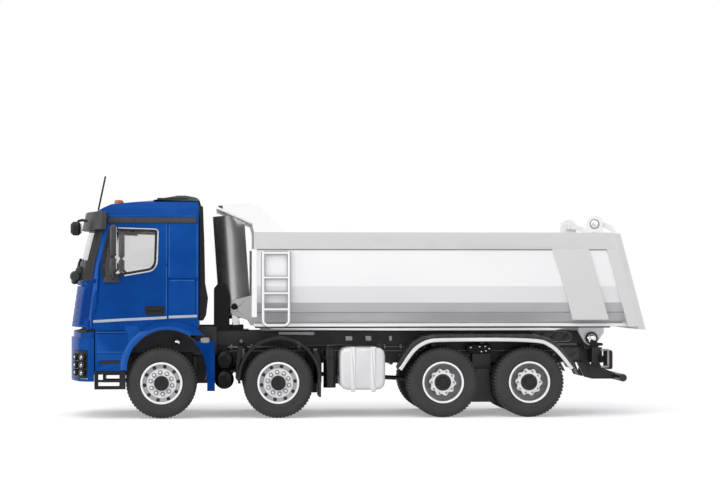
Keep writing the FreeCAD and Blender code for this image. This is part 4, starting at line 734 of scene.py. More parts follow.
def finish_surface(piece: bpy.types.Object, smooth: float, bevel: float = 0.0, segments: int = 2) -> None:
    """Smooth a mesh's faces, keep its sharp edges and round them with a bevel.

    Args:
        piece: The object.
        smooth: Edges sharper than this many degrees stay sharp.
        bevel: Width of the bevel in millimetres, or nought.
        segments: Steps across the bevel.
    """
    mesh = piece.data
    mesh.polygons.foreach_set("use_smooth", np.ones(len(mesh.polygons), bool))
    if bevel:
        rounding = piece.modifiers.new("rounded_edges", "BEVEL")
        rounding.width = bevel * MM
        rounding.segments = segments
        rounding.limit_method = "ANGLE"
        rounding.angle_limit = math.radians(smooth)
        rounding.harden_normals = False
        even = piece.modifiers.new("even_shading", "WEIGHTED_NORMAL")
        even.keep_sharp = False
    else:
        mesh.set_sharp_from_angle(angle=math.radians(smooth))


def skin(node: str, finish: Finish, bevel: float = 0.15, cutters: Sequence[Patch] = (), smooth: float = 24.0,
         segments: int = 2) -> bpy.types.Object:
    """A finished casting in the place of a CAD node: its own shape, merged, grooved and with rounded edges.

    Args:
        node: The CAD node.
        finish: Its finish.
        bevel: Width of the rounding in millimetres.
        cutters: Closed patches that are cut out of it, such as shut lines.
        smooth: Edges sharper than this many degrees are rounded.
        segments: Steps across the rounding.
    Returns:
        The object.
    """
    source = frame["nodes"][node]
    body = source["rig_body"]
    mesh = source.data.copy()
    mesh.name = node + "_casting"
    shape = bmesh.new()
    shape.from_mesh(mesh)
    bmesh.ops.remove_doubles(shape, verts=shape.verts, dist=2e-6)
    bmesh.ops.dissolve_limit(shape, angle_limit=math.radians(0.6), verts=shape.verts, edges=shape.edges)
    bmesh.ops.triangulate(shape, faces=[face for face in shape.faces if len(face.verts) > 10])
    shape.to_mesh(mesh)
    shape.free()
    piece = link(node + "_casting", mesh)
    if cutters:
        carve(piece, cutters)
    finish_surface(piece, smooth, bevel, segments)
    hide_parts(node)
    return dress(piece, body, finish)


def carve(piece: bpy.types.Object, cutters: Sequence[Patch]) -> None:
    """Cut closed patches out of a piece, for good.

    Args:
        piece: The object.
        cutters: The closed patches.
    """
    tool = link("cutter", new_mesh("cutter", cutters))
    cut = piece.modifiers.new("cut", "BOOLEAN")
    cut.operation = "DIFFERENCE"
    cut.solver = "EXACT"
    cut.use_self = True
    cut.object = tool
    bpy.context.view_layer.update()
    evaluated = piece.evaluated_get(bpy.context.evaluated_depsgraph_get())
    carved = bpy.data.meshes.new_from_object(evaluated)
    piece.modifiers.clear()
    piece.data = carved
    bpy.data.objects.remove(tool)


def paint(piece: bpy.types.Object, finish: Finish, low: tuple[float, float, float],
          high: tuple[float, float, float]) -> None:
    """Give a second finish to those faces of a piece whose middles lie in a box, on either side of the lorry.

    Args:
        piece: The object.
        finish: The finish.
        low: The box's lowest corner, with y measured outwards from the middle.
        high: Its highest corner.
    """
    mesh = piece.data
    centres = np.zeros(len(mesh.polygons) * 3)
    mesh.polygons.foreach_get("center", centres)
    centres = centres.reshape(-1, 3) / MM
    centres[:, 1] = np.abs(centres[:, 1])
    inside = np.all((centres >= np.array(low)) & (centres <= np.array(high)), axis=1)
    chosen = np.zeros(len(mesh.polygons), np.int32)
    mesh.polygons.foreach_get("material_index", chosen)
    mesh.materials.append(finish.material())
    chosen[inside] = len(mesh.materials) - 1
    mesh.polygons.foreach_set("material_index", chosen)
    mesh.update()


# ------------------------------------------------------------------------------------------ studio
@dataclass
class Studio:
    """The floor, the lamps and the camera."""

    lens_mm: float = 107.5
    eye: tuple[float, float, float] = (43.6, 694.0, 43.7)
    yaw: float = 3.78
    pitch: float = 1.01
    floor_tone: str = "#ececef"
    floor_radius: float = 420.0
    floor_glow: float = 0.32
    fade_mm: tuple[float, float] = (150.0, 330.0)
    world_level: float = 0.35
    # Name, place, width in metres and power in watts.
    lamps: tuple[tuple[str, Corner, float, float], ...] = (
        ("key", (250.0, 520.0, 620.0), 0.7, 2.4),
        ("fill", (-420.0, 620.0, 300.0), 0.7, 1.1),
        ("top", (0.0, -40.0, 760.0), 1.2, 2.3),
        ("front", (560.0, 240.0, 160.0), 0.6, 1.9),
        ("rim", (-200.0, -600.0, 380.0), 0.5, 0.8))

    def make(self) -> None:
        """Set up the whole studio."""
        self.camera()
        self.floor()
        self.light()
        bpy.context.scene.view_settings.view_transform = "Standard"

    def camera(self) -> None:
        """A long lens at the side, square to the lorry but for a few degrees."""
        data = bpy.data.cameras.new("camera")
        data.lens = self.lens_mm
        data.sensor_width = 36.0
        data.clip_start = 0.01
        data.clip_end = 20.0
        camera = link("camera", data)
        yaw, pitch = math.radians(self.yaw), math.radians(self.pitch)
        look = Vector((-math.sin(yaw) * math.cos(pitch), -math.cos(yaw) * math.cos(pitch), math.sin(pitch)))
        camera.rotation_euler = look.to_track_quat("-Z", "Y").to_euler()
        camera.location = Vector(self.eye) * MM
        bpy.context.scene.camera = camera

    def floor(self) -> None:
        """A pale round sheet of points (r cos a, r sin a, 0), as white at its rim as what lies behind it."""
        radius = np.linspace(0.0, self.floor_radius, 8)[:, None]
        turn = np.linspace(0, 2 * math.pi, 64, endpoint=False)[None, :]
        x, y = radius * np.cos(turn), radius * np.sin(turn)
        mesh = new_mesh("sweep", [grid(np.stack([x, y, np.zeros_like(x)], -1), wrap_v=True)], closed=False)
        mesh.polygons.foreach_set("use_smooth", np.ones(len(mesh.polygons), bool))
        piece = link("sweep", mesh)
        mesh.materials.append(self.paper())

    def paper(self) -> bpy.types.Material:
        """Matt paper, shown a little brighter to the eye and in reflections than it lights the lorry."""
        made = bpy.data.materials.new("matt_paper")
        made.use_nodes = True
        tree = made.node_tree
        tree.nodes.clear()
        seen = self.seen(tree)
        matt = put(tree, "ShaderNodeBsdfDiffuse", inputs={"Color": linear(self.floor_tone)})
        white = put(tree, "ShaderNodeEmission", inputs={"Color": WHITE, "Strength": self.floor_glow})
        dark = put(tree, "ShaderNodeEmission", inputs={"Color": WHITE, "Strength": 0.0})
        glow = put(tree, "ShaderNodeMixShader", inputs={
            0: seen, 1: dark.outputs["Emission"], 2: white.outputs["Emission"]})
        near = put(tree, "ShaderNodeAddShader", inputs={0: matt.outputs["BSDF"], 1: glow.outputs["Shader"]})
        away = put(tree, "ShaderNodeVectorMath", {"operation": "LENGTH"}, {
            0: put(tree, "ShaderNodeTexCoord").outputs["Object"]})
        fade = put(tree, "ShaderNodeMapRange", inputs={
            "Value": away.outputs["Value"], "From Min": self.fade_mm[0] * MM,
            "From Max": self.fade_mm[1] * MM})
        share = put(tree, "ShaderNodeMath", {"operation": "MULTIPLY"}, {0: fade.outputs["Result"], 1: seen})
        plain = put(tree, "ShaderNodeEmission", inputs={"Color": WHITE, "Strength": 1.0})
        total = put(tree, "ShaderNodeMixShader", inputs={
            0: share.outputs["Value"], 1: near.outputs["Shader"], 2: plain.outputs["Emission"]})
        put(tree, "ShaderNodeOutputMaterial", inputs={"Surface": total.outputs["Shader"]})
        return made

    def seen(self, tree: bpy.types.NodeTree) -> bpy.types.NodeSocket:
        """One for rays from the camera, from reflections and through glass, and nought for the rest.

        Args:
            tree: The node tree.
        Returns:
            The share as an output.
        """
        rays = put(tree, "ShaderNodeLightPath").outputs
        through = put(tree, "ShaderNodeMath", {"operation": "MAXIMUM"}, {
            0: rays["Is Glossy Ray"], 1: rays["Is Transmission Ray"]})
        return put(tree, "ShaderNodeMath", {"operation": "MAXIMUM"}, {
            0: rays["Is Camera Ray"], 1: through.outputs["Value"]}).outputs["Value"]

    def light(self) -> None:
        """Large soft lamps round the lorry, and a pale even world."""
        for name, place, size, power in self.lamps:
            data = bpy.data.lights.new(name, "AREA")
            data.shape = "DISK"
            data.size = size
            data.energy = power
            lamp = link(name, data)
            lamp.location = Vector(place) * MM
            aim = Vector((0, 0, 0.03)) - lamp.location
            lamp.rotation_euler = aim.to_track_quat("-Z", "Y").to_euler()
        world = bpy.data.worlds.new("studio")
        world.use_nodes = True
        tree = world.node_tree
        tree.nodes.clear()
        seen = self.seen(tree)
        lit = put(tree, "ShaderNodeBackground", inputs={"Color": WHITE, "Strength": self.world_level})
        shown = put(tree, "ShaderNodeBackground", inputs={"Color": WHITE, "Strength": 1.0})
        mixed = put(tree, "ShaderNodeMixShader", inputs={
            0: seen, 1: lit.outputs["Background"], 2: shown.outputs["Background"]})
        put(tree, "ShaderNodeOutputWorld", inputs={"Surface": mixed.outputs["Shader"]})
        bpy.context.scene.world = world


# ------------------------------------------------------------------------------------------ wheels
@dataclass
class Tyres:
    """Rubber tyres with a blocked shoulder and grooves round the tread."""

    bead: float = 6.45
    blocks: int = 60
    groove: float = 0.3
    front: tuple[float, float] = (17.9, 24.2)
    outer: tuple[float, float] = (18.1, 24.2)
    inner: tuple[float, float] = (11.6, 17.7)

    def surface(self, x: float, low: float, high: float) -> Patch:
        """One tyre between two planes across its axle.

        The point at angle a and place s of the section is (x + r cos a, y, z + r sin a), where r is the
        section's radius less a groove's depth wherever s lies on a rib's edge and a lies in a slot.

        Args:
            x: The axle.
            low: The inner face's distance from the middle.
            high: The outer face's.
        Returns:
            A closed patch.
        """
        wide = high - low
        side = np.array([[self.bead, 0.62], [6.9, 0.2], [7.5, 0.06], [7.62, 0.16], [8.6, 0.0], [9.5, 0.06],
                         [10.1, 0.32], [10.25, 0.42]])
        tread = np.array([[10.7, 0.72, 1], [10.96, 1.05, 1], [10.99, 1.3, 1], [10.99, 2.05, 1],
                          [10.7, 2.1, 0], [10.7, 2.3, 0], [10.99, 2.35, 0.5],
                          [10.99, wide / 2 - 0.12, 0.5], [10.7, wide / 2 - 0.08, 0]])
        half = np.concatenate([np.insert(side, 2, 0, axis=1), tread])
        far = half[::-1].copy()
        far[:, 1] = wide - far[:, 1]
        section = np.concatenate([half, far])
        notch = np.arange(self.blocks)[:, None] + np.array([0.0, 0.62, 0.68, 0.94])[None, :]
        turn = (notch / self.blocks * 2 * math.pi).reshape(-1)
        in_slot = np.tile([0.0, 0.0, 1.0, 1.0], self.blocks)
        radius = section[None, :, 0] - self.groove * in_slot[:, None] * section[None, :, 2]
        points = np.zeros((len(turn), len(section), 3))
        points[..., 0] = x + radius * np.cos(turn)[:, None]
        points[..., 1] = low + section[None, :, 1]
        points[..., 2] = AXLE_Z + radius * np.sin(turn)[:, None]
        return grid(points, wrap_u=True, wrap_v=True)

    def make(self) -> None:
        """Build the four single tyres and the two sets of four twin tyres."""
        for order, x in STEERED:
            left = self.surface(x, *self.front)
            for side, patch in (("left", left), ("right", left.mirrored())):
                node = f"tyre_{order}_{side}"
                build(node + "_rubber", [patch], f"wheel_{order}_{side}", RUBBER, 30, replaces=[node])
        for order, x in DRIVEN:
            left = [self.surface(x, *self.outer), self.surface(x, *self.inner)]
            patches = left + [patch.mirrored() for patch in left]
            node = f"tyres_{order}"
            build(node + "_rubber", patches, f"wheels_{order}", RUBBER, 30, replaces=[node])


@dataclass
class Wheels:
    """Pressed wheels: dished discs with hand holes and nuts in front, deep dishes with nut rings behind.

    Each profile is a list of radius and place along the axle.
    """

    nuts: int = 10
    nut_circle: float = 3.4
    nut_start: float = 0.2
    hole_circle: float = 5.24
    star_radii: tuple[float, float] = (4.3, 3.75)
    front_lip: Points = ((5.85, 24.0), (6.0, 24.28), (6.3, 24.34), (6.5, 24.22), (6.5, 23.9), (5.85, 23.8))
    rear_lip: Points = ((5.85, 24.0), (5.98, 24.26), (6.3, 24.34), (6.5, 24.22), (6.5, 23.9), (5.85, 23.8))
    seat: Points = ((0.4, 23.4), (0.74, 23.4), (0.7, 23.74), (0.44, 23.76))
    hub: Points = ((0, 23.4), (2.32, 23.4), (2.32, 24.3), (2.26, 24.8), (2.1, 25.05), (1.3, 25.17), (0, 25.2))
    hole_shade_ring: Points = ((4.6, 23.3), (5.9, 23.3), (5.9, 23.8), (4.74, 23.8), (4.6, 23.72))
    hole: Points = ((0, 23.3), (0.6, 23.3), (0.6, 23.83), (0, 23.83))
    raised_ring: Points = ((2.55, 22.5), (3.0, 22.5), (3.0, 22.95), (2.55, 22.95))
    cap: Points = ((0, 19.8), (2.66, 19.8), (2.66, 22.9), (2.5, 23.35), (2.1, 23.5), (1.9, 23.42),
                   (1.6, 23.42), (1.5, 23.6), (0, 23.62))

    def circle(self, x: float, radius: float, count: int, start: float = 0.0) -> np.ndarray:
        """Places on a circle about an axle: centre plus radius times (cos a, sin a), at even angles."""
        turn = np.linspace(0, 2 * math.pi, count, endpoint=False) + start
        return np.stack([x + radius * np.cos(turn), np.zeros(count), AXLE_Z + radius * np.sin(turn)], 1)

    def front(self, order: str, x: float, side: str) -> None:
        """One steered wheel's disc, rim lip, nuts and hub.

        Args:
            order: Which axle.
            x: The axle's place.
            side: left or right.
        """
        body, node, at = f"wheel_{order}_{side}", f"rim_{order}_{side}", (x, 0.0, AXLE_Z)
        skin(node, DISC, 0.12, smooth=30)
        spots = self.circle(x, self.nut_circle, self.nuts, self.nut_start)
        between = self.circle(x, self.hole_circle, self.nuts, self.nut_start + math.pi / self.nuts)
        hub = [lathe(self.hub, at, steps=40)] + studs(self.circle(x, 1.3, 8), 0.24, 24.9, 25.28, sides=8)
        for name, patches, finish, slot, smooth in (
                ("lip", [lathe(self.front_lip, at, ring=True, steps=72)], WHEEL, "rim", 50),
                # The ring round the hand holes is painted shade, standing for the disc's darker reflections.
                ("hole_shade_ring", [lathe(self.hole_shade_ring, at, ring=True, steps=72)], DISH_GREY_AND_SHADE, "rim", 40),
                ("hand_holes", [lathe(self.hole, tuple(spot), steps=16) for spot in between], PLASTIC,
                 "", 30),
                ("nut_seats", [lathe(self.seat, tuple(spot), ring=True, steps=14) for spot in spots],
                 GREY_METAL_AND_PAINTED_LIGHT, "rim", 40),
                ("nuts", studs(spots, 0.4, 23.45, 24.0), WHEEL, "", 40),
                ("hub", hub, GLOSS_BLACK, "", 40)):
            if side == "right":
                patches = [patch.mirrored() for patch in patches]
            build(f"{node}_{name}", patches, body, finish, smooth)

    def rear(self, order: str, x: float) -> None:
        """One driven axle's dishes, rim lips, nut rings and hub caps on both sides.

        The nut ring's outline at the angle a is the axle plus r (cos a, sin a), where r changes from one of
        the star's two radii to the other between every second point and the next.

        Args:
            order: Which axle.
            x: The axle's place.
        """
        body, node, at = f"wheels_{order}", f"rims_{order}", (x, 0.0, AXLE_Z)
        skin(node, DISH_GREY_AND_SHADE, 0.12, smooth=30)
        turn = np.linspace(0, 2 * math.pi, self.nuts * 4, endpoint=False)
        wave = np.tile(np.repeat(self.star_radii, 2), self.nuts)
        star = np.stack([x + wave * np.cos(turn), AXLE_Z + wave * np.sin(turn)], 1)
        rings = [slab(star, 19.78, 22.7, 0.15), lathe(self.raised_ring, at, ring=True, steps=40)]
        nuts = studs(self.circle(x, 3.5, self.nuts), 0.3, 22.6, 23.1, sides=8)
        caps = [lathe(self.cap, at, steps=40)] + studs(self.circle(x, 2.05, 8), 0.2, 23.3, 23.68, sides=8)
        fit(body, ((f"{node}_lips", [lathe(self.rear_lip, at, ring=True, steps=72)], WHEEL, "rim", 50),
                   (f"{node}_nut_rings", rings, WHEEL, "rim", 30),
                   (f"{node}_nuts", nuts, GREY_METAL_AND_PAINTED_LIGHT, "", 40),
                   (f"{node}_hubs", caps, GLOSS_BLACK, "", 40)))

    def make(self) -> None:
        """Build every wheel."""
        for order, x in STEERED:
            for side in ("left", "right"):
                self.front(order, x, side)
        for order, x in DRIVEN:
            self.rear(order, x)


# --------------------------------------------------------------------------------------------- cab
SIDE_Y = 25.0        # the cab's side below the belt, from the middle
BELT_Z = 47.4        # where the side and the windscreen start to lean in
CROWN_Z = 62.0       # where the side has leant in by 1.2
BOW = 140.0          # twice the radius of the front's bow
FRONT_LIMIT = 90.18  # as far forward as a trim may reach
CORNER_RADIUS = 6.0  # of the cab's front corners, seen from above
CORNER_AHEAD = 61.1  # from the bow's centre forward to a corner's centre


def lean(height: np.ndarray) -> np.ndarray:
    """Distance of the cab's side from the middle: 25 up to the belt, drawn in by 1.2 up to the crown."""
    return SIDE_Y - 1.2 * np.clip((height - BELT_Z) / (CROWN_Z - BELT_Z), 0, 2)


def nose(height: np.ndarray) -> np.ndarray:
    """X of the cab's foremost line, which falls back by 0.14 of the height and, above the belt, by 0.248."""
    return np.where(height < BELT_Z, 90.2 - 0.14 * (height - 27.9), 87.47 - 0.248 * (height - BELT_Z))


def on_side(outline: np.ndarray, level: float) -> np.ndarray:
    """Points of x and z put on the cab's side: y is the side's distance there plus the level."""
    return np.stack([outline[:, 0], lean(outline[:, 1]) + level, outline[:, 1]], 1)


def on_front(outline: np.ndarray, level: float) -> np.ndarray:
    """Points of y and z put on the bowed front: x is the foremost line less y^2 / bow, plus the level."""
    face = nose(outline[:, 1]) - outline[:, 0] ** 2 / BOW
    return np.stack([np.minimum(face + level, FRONT_LIMIT), outline[:, 0], outline[:, 1]], 1)


def shell_strip(path: np.ndarray, width: float, rise: float, sink: float = 0.25) -> Patch:
    """A raised strip along a path on the cab's side, which follows the side's lean.

    Args:
        path: Points of x and z.
        width: Width of the strip.
        rise: How far it stands out from the side.
        sink: How far it reaches in.
    Returns:
        A closed patch.
    """
    return lay(band(path, width), rise, sink)


def lay(outline: np.ndarray, rise: float, sink: float = 0.25, edge: float = 0.08) -> Patch:
    """A plate on the cab's side: four rings of the outline, at y = side(z) - sink up to side(z) + rise.

    Args:
        outline: Points of x and z.
        rise: How far it stands out from the side.
        sink: How far it reaches in.
        edge: Width of its bevel.
    Returns:
        A closed patch.
    """
    small = inset(outline, edge)
    return loft(np.array([on_side(small, -sink), on_side(outline, -sink + edge),
                          on_side(outline, rise - edge), on_side(small, rise)]))


def inset_path(corners: np.ndarray, radius: float) -> np.ndarray:
    """An open path with its inner corners rounded by a radius."""
    return np.concatenate([corners[:1], soften(corners, radius, 5)[5:-5], corners[-1:]])


def frame_ring(outline: np.ndarray, width: float, rise: float, sink: float = 0.25) -> Patch:
    """A closed frame on the cab's side, between an outline and the same outline drawn in by a width.

    The section at each point runs inner back, outer back, outer front, inner front.

    Args:
        outline: Points of x and z.
        width: Width of the frame.
        rise: How far it stands out from the side.
        sink: How far it reaches in.
    Returns:
        A closed patch.
    """
    small = inset(outline, width)
    rings = [on_side(small, -sink), on_side(outline, -sink), on_side(outline, rise), on_side(small, rise)]
    return grid(np.array(rings).transpose(1, 0, 2), wrap_u=True, wrap_v=True)


def bowed(outline: np.ndarray, rise: float, sink: float = 0.3, edge: float = 0.1) -> Patch:
    """A plate on the cab's bowed front: four rings of its outline, from sink behind it to rise before it.

    Args:
        outline: Points of y and z.
        rise: How far it stands out.
        sink: How far it reaches in.
        edge: Width of its bevel.
    Returns:
        A closed patch.
    """
    small = inset(outline, edge)
    return loft(np.array([on_front(small, -sink), on_front(outline, -sink + edge),
                          on_front(outline, rise - edge), on_front(small, rise)]))


def front_band(reach: float, heights: tuple[float, float], rise: float, sink: float,
               edge: float = 0.1) -> Patch:
    """A band across the cab's bowed front: one six-cornered section at each y, carried from side to side.

    A corner at the level e lies at x = nose(z) + e - y^2 / bow.

    Args:
        reach: How far the band goes to each side.
        heights: Lower and upper height.
        rise: How far it stands out.
        sink: How far it reaches in.
        edge: Width of its bevels.
    Returns:
        A closed patch.
    """
    low, high = heights
    z = np.array([low, low, low + edge, high - edge, high, high])
    level = np.array([-sink, rise - edge, rise, rise, rise - edge, -sink])
    y = np.linspace(-reach, reach, 33)[:, None]
    x = np.minimum(nose(z) + level - y ** 2 / BOW, FRONT_LIMIT)
    return loft(np.stack([x, np.broadcast_to(y, x.shape), np.broadcast_to(z, x.shape)], -1))


def plan_corner(angle: np.ndarray, height: np.ndarray, out: float) -> np.ndarray:
    """Points on the cab's rounded front corner: centre(z) + (6 + out) (cos a, sin a), a from front to side.

    The corner's centre lies 61.1 in front of the bow's centre and 6 inside the cab's side, and both the front
    line and the side lean in with the height.

    Args:
        angle: Degrees from the front, of any shape.
        height: Height, of the same shape.
        out: Distance in front of the surface.
    Returns:
        Points of that shape and 3.
    """
    turn = np.radians(angle)
    x = nose(height) - BOW / 2 + CORNER_AHEAD + (CORNER_RADIUS + out) * np.cos(turn)
    y = np.minimum(SIDE_Y - CORNER_RADIUS + (CORNER_RADIUS + out) * np.sin(turn), lean(height) + out)
    return np.stack([x, y, height], -1)


def corner_patch(turn: tuple[float, float], heights: tuple[float, float], rise: float) -> Patch:
    """A thin panel round the cab's front corner: at each height, its outer curve and back along its inner.

    Args:
        turn: Angles from the front, in degrees.
        heights: Lower and upper height.
        rise: How far it stands out.
    Returns:
        A closed patch.
    """
    height, angle = np.meshgrid(np.linspace(*heights, 13), np.linspace(*turn, 13), indexing="ij")
    outer, inner = plan_corner(angle, height, rise), plan_corner(angle, height, -0.3)
    return loft(np.concatenate([outer, inner[:, ::-1]], 1))


@dataclass
class Cab:
    """The blue cab with its glass, trims, mirrors, visor, deflector and interior.

    Paths on the side are points of x and z, and those on the front are points of y and z.
    """

    window: Points = ((77.1, 59.4), (62.1, 58.9), (62.4, 48.0), (63.9, 45.85), (73.7, 44.15), (78.7, 42.85),
                      (79.6, 45.4), (78.9, 52.2))
    bright_edge: Points = ((74.6, 59.25), (62.1, 58.86), (62.4, 48.0), (63.9, 45.85), (72.6, 44.36))
    door_front: Points = ((78.4, 56.8), (79.7, 53.4), (80.4, 50.9), (81.0, 46.8), (81.5, 39.8), (82.3, 33.0),
                          (82.3, 27.0))
    shut_lines: tuple[Points, ...] = (((59.1, 61.2), (59.1, 46.0), (59.1, 31.0)),
                                      ((50.4, 43.2), (50.4, 32.2)), ((50.4, 43.4), (58.8, 43.4)))
    flap_lines: tuple[Points, ...] = (((-25.0, 41.2), (25.0, 41.2)), ((-20.5, 41.2), (-20.5, 29.5)),
                                      ((20.5, 41.2), (20.5, 29.5)))
    slats: tuple[float, ...] = (30.2, 32.4, 34.6, 36.8, 39.0)
    stripes: tuple[Points, ...] = (((82.1, 30.2), (73.4, 30.72), (64.7, 31.12), (59.35, 31.42)),
                                   ((58.85, 31.55), (50.0, 31.88)))
    beads: tuple[Points, ...] = (
        ((82.0, 39.5), (82.75, 33.0), (82.75, 28.4)), ((59.5, 60.4), (59.5, 32.0)),
        ((58.7, 60.4), (58.7, 44.0)), ((50.05, 60.2), (50.05, 44.2)), ((50.05, 42.6), (50.05, 32.5)),
        ((58.4, 42.9), (50.9, 42.9)), ((77.3, 62.85), (50.6, 62.85)))
    wipers: tuple[float, ...] = (12.0, -2.0)
    mirror_heights: Points = ((50.3, 60.0), (45.4, 49.95))

    def shell(self) -> None:
        """The cast cab with its shut lines cut in, and its back wall black."""
        cuts = []
        for line in (self.door_front, *self.shut_lines):
            cuts += both(lay(band(denser(line, (len(line) - 1) * 4 + 1), 0.36), 1.5, 0.35, 0.01))
        for line in (*self.flap_lines, *[((-19.0, z), (19.0, z)) for z in self.slats]):
            near = on_front(band(denser(line, 25), 0.3), -0.35)
            cuts.append(loft(np.array([near, near + np.array([3.0, 0, 0])])))
        shell = skin("cab_shell", BLUE, 0.32, cuts, smooth=26, segments=3)
        paint(shell, PLASTIC, (48.0, -24.2, 24.0), (50.02, 24.2, 66.0))

    def side_trims(self) -> None:
        """The window's bright edge and rubbers, the silver stripe, moulding, handle and raised edges with a
        painted highlight.
        """
        outline = soften(self.window, 1.2, 5)
        moulding = soften([(50.2, 60.75), (77.9, 60.75), (77.7, 62.45), (50.2, 62.45)], 0.5)
        cup = lay(rectangle((60.1, 66.15), (32.1, 35.1), 0.9), 0.1, 0.2, 0.08)
        grip = lay(rectangle((60.6, 65.7), (33.5, 34.6), 0.5), 0.55, 0.1, 0.2)
        edges = [np.array(self.door_front[:5]) - [0.42, 0], *self.beads]
        beads = [shell_strip(denser(line, (len(line) - 1) * 6 + 1), 0.34, 0.06, 0.1) for line in edges]
        fit("cab", (
            ("window_frames", [shell_strip(inset_path(np.array(self.bright_edge), 1.2), 0.42, 0.14)], CHROME,
             "steel", 35),
            ("window_borders", [frame_ring(inset(outline, -0.15), 0.6, 0.07)], PLASTIC, "black_plastic", 35),
            ("window_rubbers", [frame_ring(inset(outline, 0.4), 0.6, 0.05)], PLASTIC, "black_plastic", 35),
            ("door_stripes", [shell_strip(denser(path, 16), 0.85, 0.06, 0.05) for path in self.stripes],
             STRIPE, "body_silver", 30),
            ("roof_mouldings", [lay(moulding, 0.34, 0.5, 0.2)], GREY_PLASTIC, "black_plastic", 30),
            ("door_handles", [cup, grip], PLASTIC, "black_plastic", 30),
            ("door_edge_highlight_beads", beads, BLUE_PAINTED_HIGHLIGHT, "cab_paint", 30)))

    def front_trims(self) -> None:
        """The grille, the black cowl, the wipers with their pivots, and the trims of the corner pillars."""
        gaps = [front_band(18.9, (z - 0.14, z + 0.14), -0.2, 0.5, 0.02) for z in self.slats]
        build("grille_gaps", gaps, "cab", PLASTIC, 30)
        cowl = front_band(20.4, (42.7, 49.2), 0.35, 0.4, 0.2)
        build("wiper_cowl", [cowl], "cab", PLASTIC, 30)
        wipers = []
        for y in self.wipers:
            tip = y - 9.5
            arm = np.array([(y, 44.5), ((y + tip) / 2, 47.0), (tip, 48.6)])
            blade = np.array([(tip - 6.0, 48.5), (tip, 48.8), (tip + 6.0, 49.6)])
            wipers += [bowed(band(arm, 0.7), 1.1, -0.3, 0.15), bowed(band(blade, 0.5), 1.0, -0.2, 0.12)]
        build("wipers", wipers, "cab", PLASTIC, 35)
        knobs = ((88.2, 44.2, 1.75), (86.9, 46.0, 1.3), (88.6, 42.6, 0.9))  # x, z and radius
        pivots = [lathe([(0, y - 1.6), (r - 0.3, y - 1.6), (r, y - 1.3), (r, y + 1.0), (r - 0.5, y + 1.5),
                         (0, y + 1.6)], (x, 0, z), steps=24) for y in (14.0, -2.0) for x, z, r in knobs]
        build("wiper_pivots", pivots, "cab", GREY_PLASTIC, 35)
        # Thin blue ridges round the front corners, painted with a highlight.
        ridges = [corner_patch((74.0, 63.0), (43.4, 60.2), 0.08),
                  corner_patch((74.0, 65.0), (30.6, 42.0), 0.14)]
        fit("cab", (
            ("pillar_trims", [corner_patch((57.0, 20.0), (42.9, 59.3), 0.1)], PLASTIC, "black_plastic", 30),
            ("screen_frames", [corner_patch((21.0, 14.0), (42.9, 59.6), 0.22)], GREY_PLASTIC,
             "black_plastic", 30),
            ("cowl_corners", [corner_patch((14.5, 1.0), (42.8, 49.2), 0.15)], PLASTIC, "black_plastic", 30),
            ("pillar_highlight_ridges", ridges, BLUE_PAINTED_HIGHLIGHT, "cab_paint", 30)))

    def glazing(self) -> None:
        """The windows, cast with the cab: only their finish is set."""
        skin("cab_glass", GLASS, 0.0, smooth=20)

    def roof(self) -> None:
        """The deflector with a line along its side, the beacon on its foot, the stack and the antenna."""
        skin("roof_deflector", DEFLECTOR, 0.3, segments=3)
        line = slab(rectangle((53.0, 62.6), (68.2, 68.75), 0.2), 18.9, 19.04, 0.05)
        build("deflector_lines", both(line), "cab", PLASTIC, 30)
        dome = lathe([(0, 65.6), (1.42, 65.6), (1.45, 66.3), (1.4, 66.75), (1.1, 67.05), (0, 67.1)],
                     (74.6, 16.5, 1.05), axis=2, steps=24)
        foot = lathe([(0, 64.9), (1.6, 64.9), (1.6, 65.6), (1.45, 65.75), (0, 65.75)],
                     (74.6, 16.5, 1.1), axis=2, steps=24)
        build("beacons", [dome], "cab", AMBER, smooth=35)
        build("beacon_feet", [foot], "cab", PLASTIC, 35)
        skin("intake_stack", PLASTIC, 0.25)
        skin("antenna", PLASTIC, 0.0)

    def visor(self) -> None:
        """The sun visor, and the small mirror that hangs from it."""
        skin("sun_visor", GREY_PLASTIC, 0.25, smooth=30)
        arm = tube([(84.2, 20.0, 61.4), (85.8, 20.4, 61.7), (86.9, 20.6, 61.4), (87.4, 20.6, 60.6)], 0.42, 10)
        case = slab(rectangle((18.7, 22.5), (56.9, 61.2), 1.3), 86.1, 89.3, 0.8, Plane.YZ)
        build("front_mirror", [arm, case], "cab", PLASTIC, 35)
        glass = slab(rectangle((19.3, 21.9), (57.5, 60.6), 0.9), 86.02, 86.14, 0.03, Plane.YZ)
        build("front_mirror_glass", [glass], "cab", CHROME, smooth=35)

    def mirrors(self) -> None:
        """Two rounded mirror housings on each side with their glasses, on a bent tube arm."""
        cases, glasses = [], []
        for low, high in self.mirror_heights:
            cases.append(slab(rectangle((27.4, 30.9), (low, high), 1.0), 74.75, 76.75, 0.55, Plane.YZ))
            face = rectangle((27.9, 30.4), (low + 0.5, high - 0.5), 0.7)
            glasses.append(slab(face, 74.68, 74.85, 0.05, Plane.YZ))
        arm = tube([(76.3, 24.8, 43.2), (76.2, 25.6, 43.3), (76.0, 26.6, 43.9), (75.8, 26.95, 45.2),
                    (75.8, 26.95, 51.0), (75.8, 26.95, 59.2)], 0.42, 10)
        foot = slab(soften([(73.8, 42.1), (79.1, 42.3), (78.4, 44.2), (75.6, 45.6), (74.4, 44.6)], 0.6),
                    24.8, 25.7, 0.25)
        build("mirror_housings", both(*cases, arm, foot), "cab", GREY_PLASTIC, 30,
              replaces=["door_mirrors"])
        build("mirror_glasses", both(*glasses), "cab", CHROME, smooth=30)

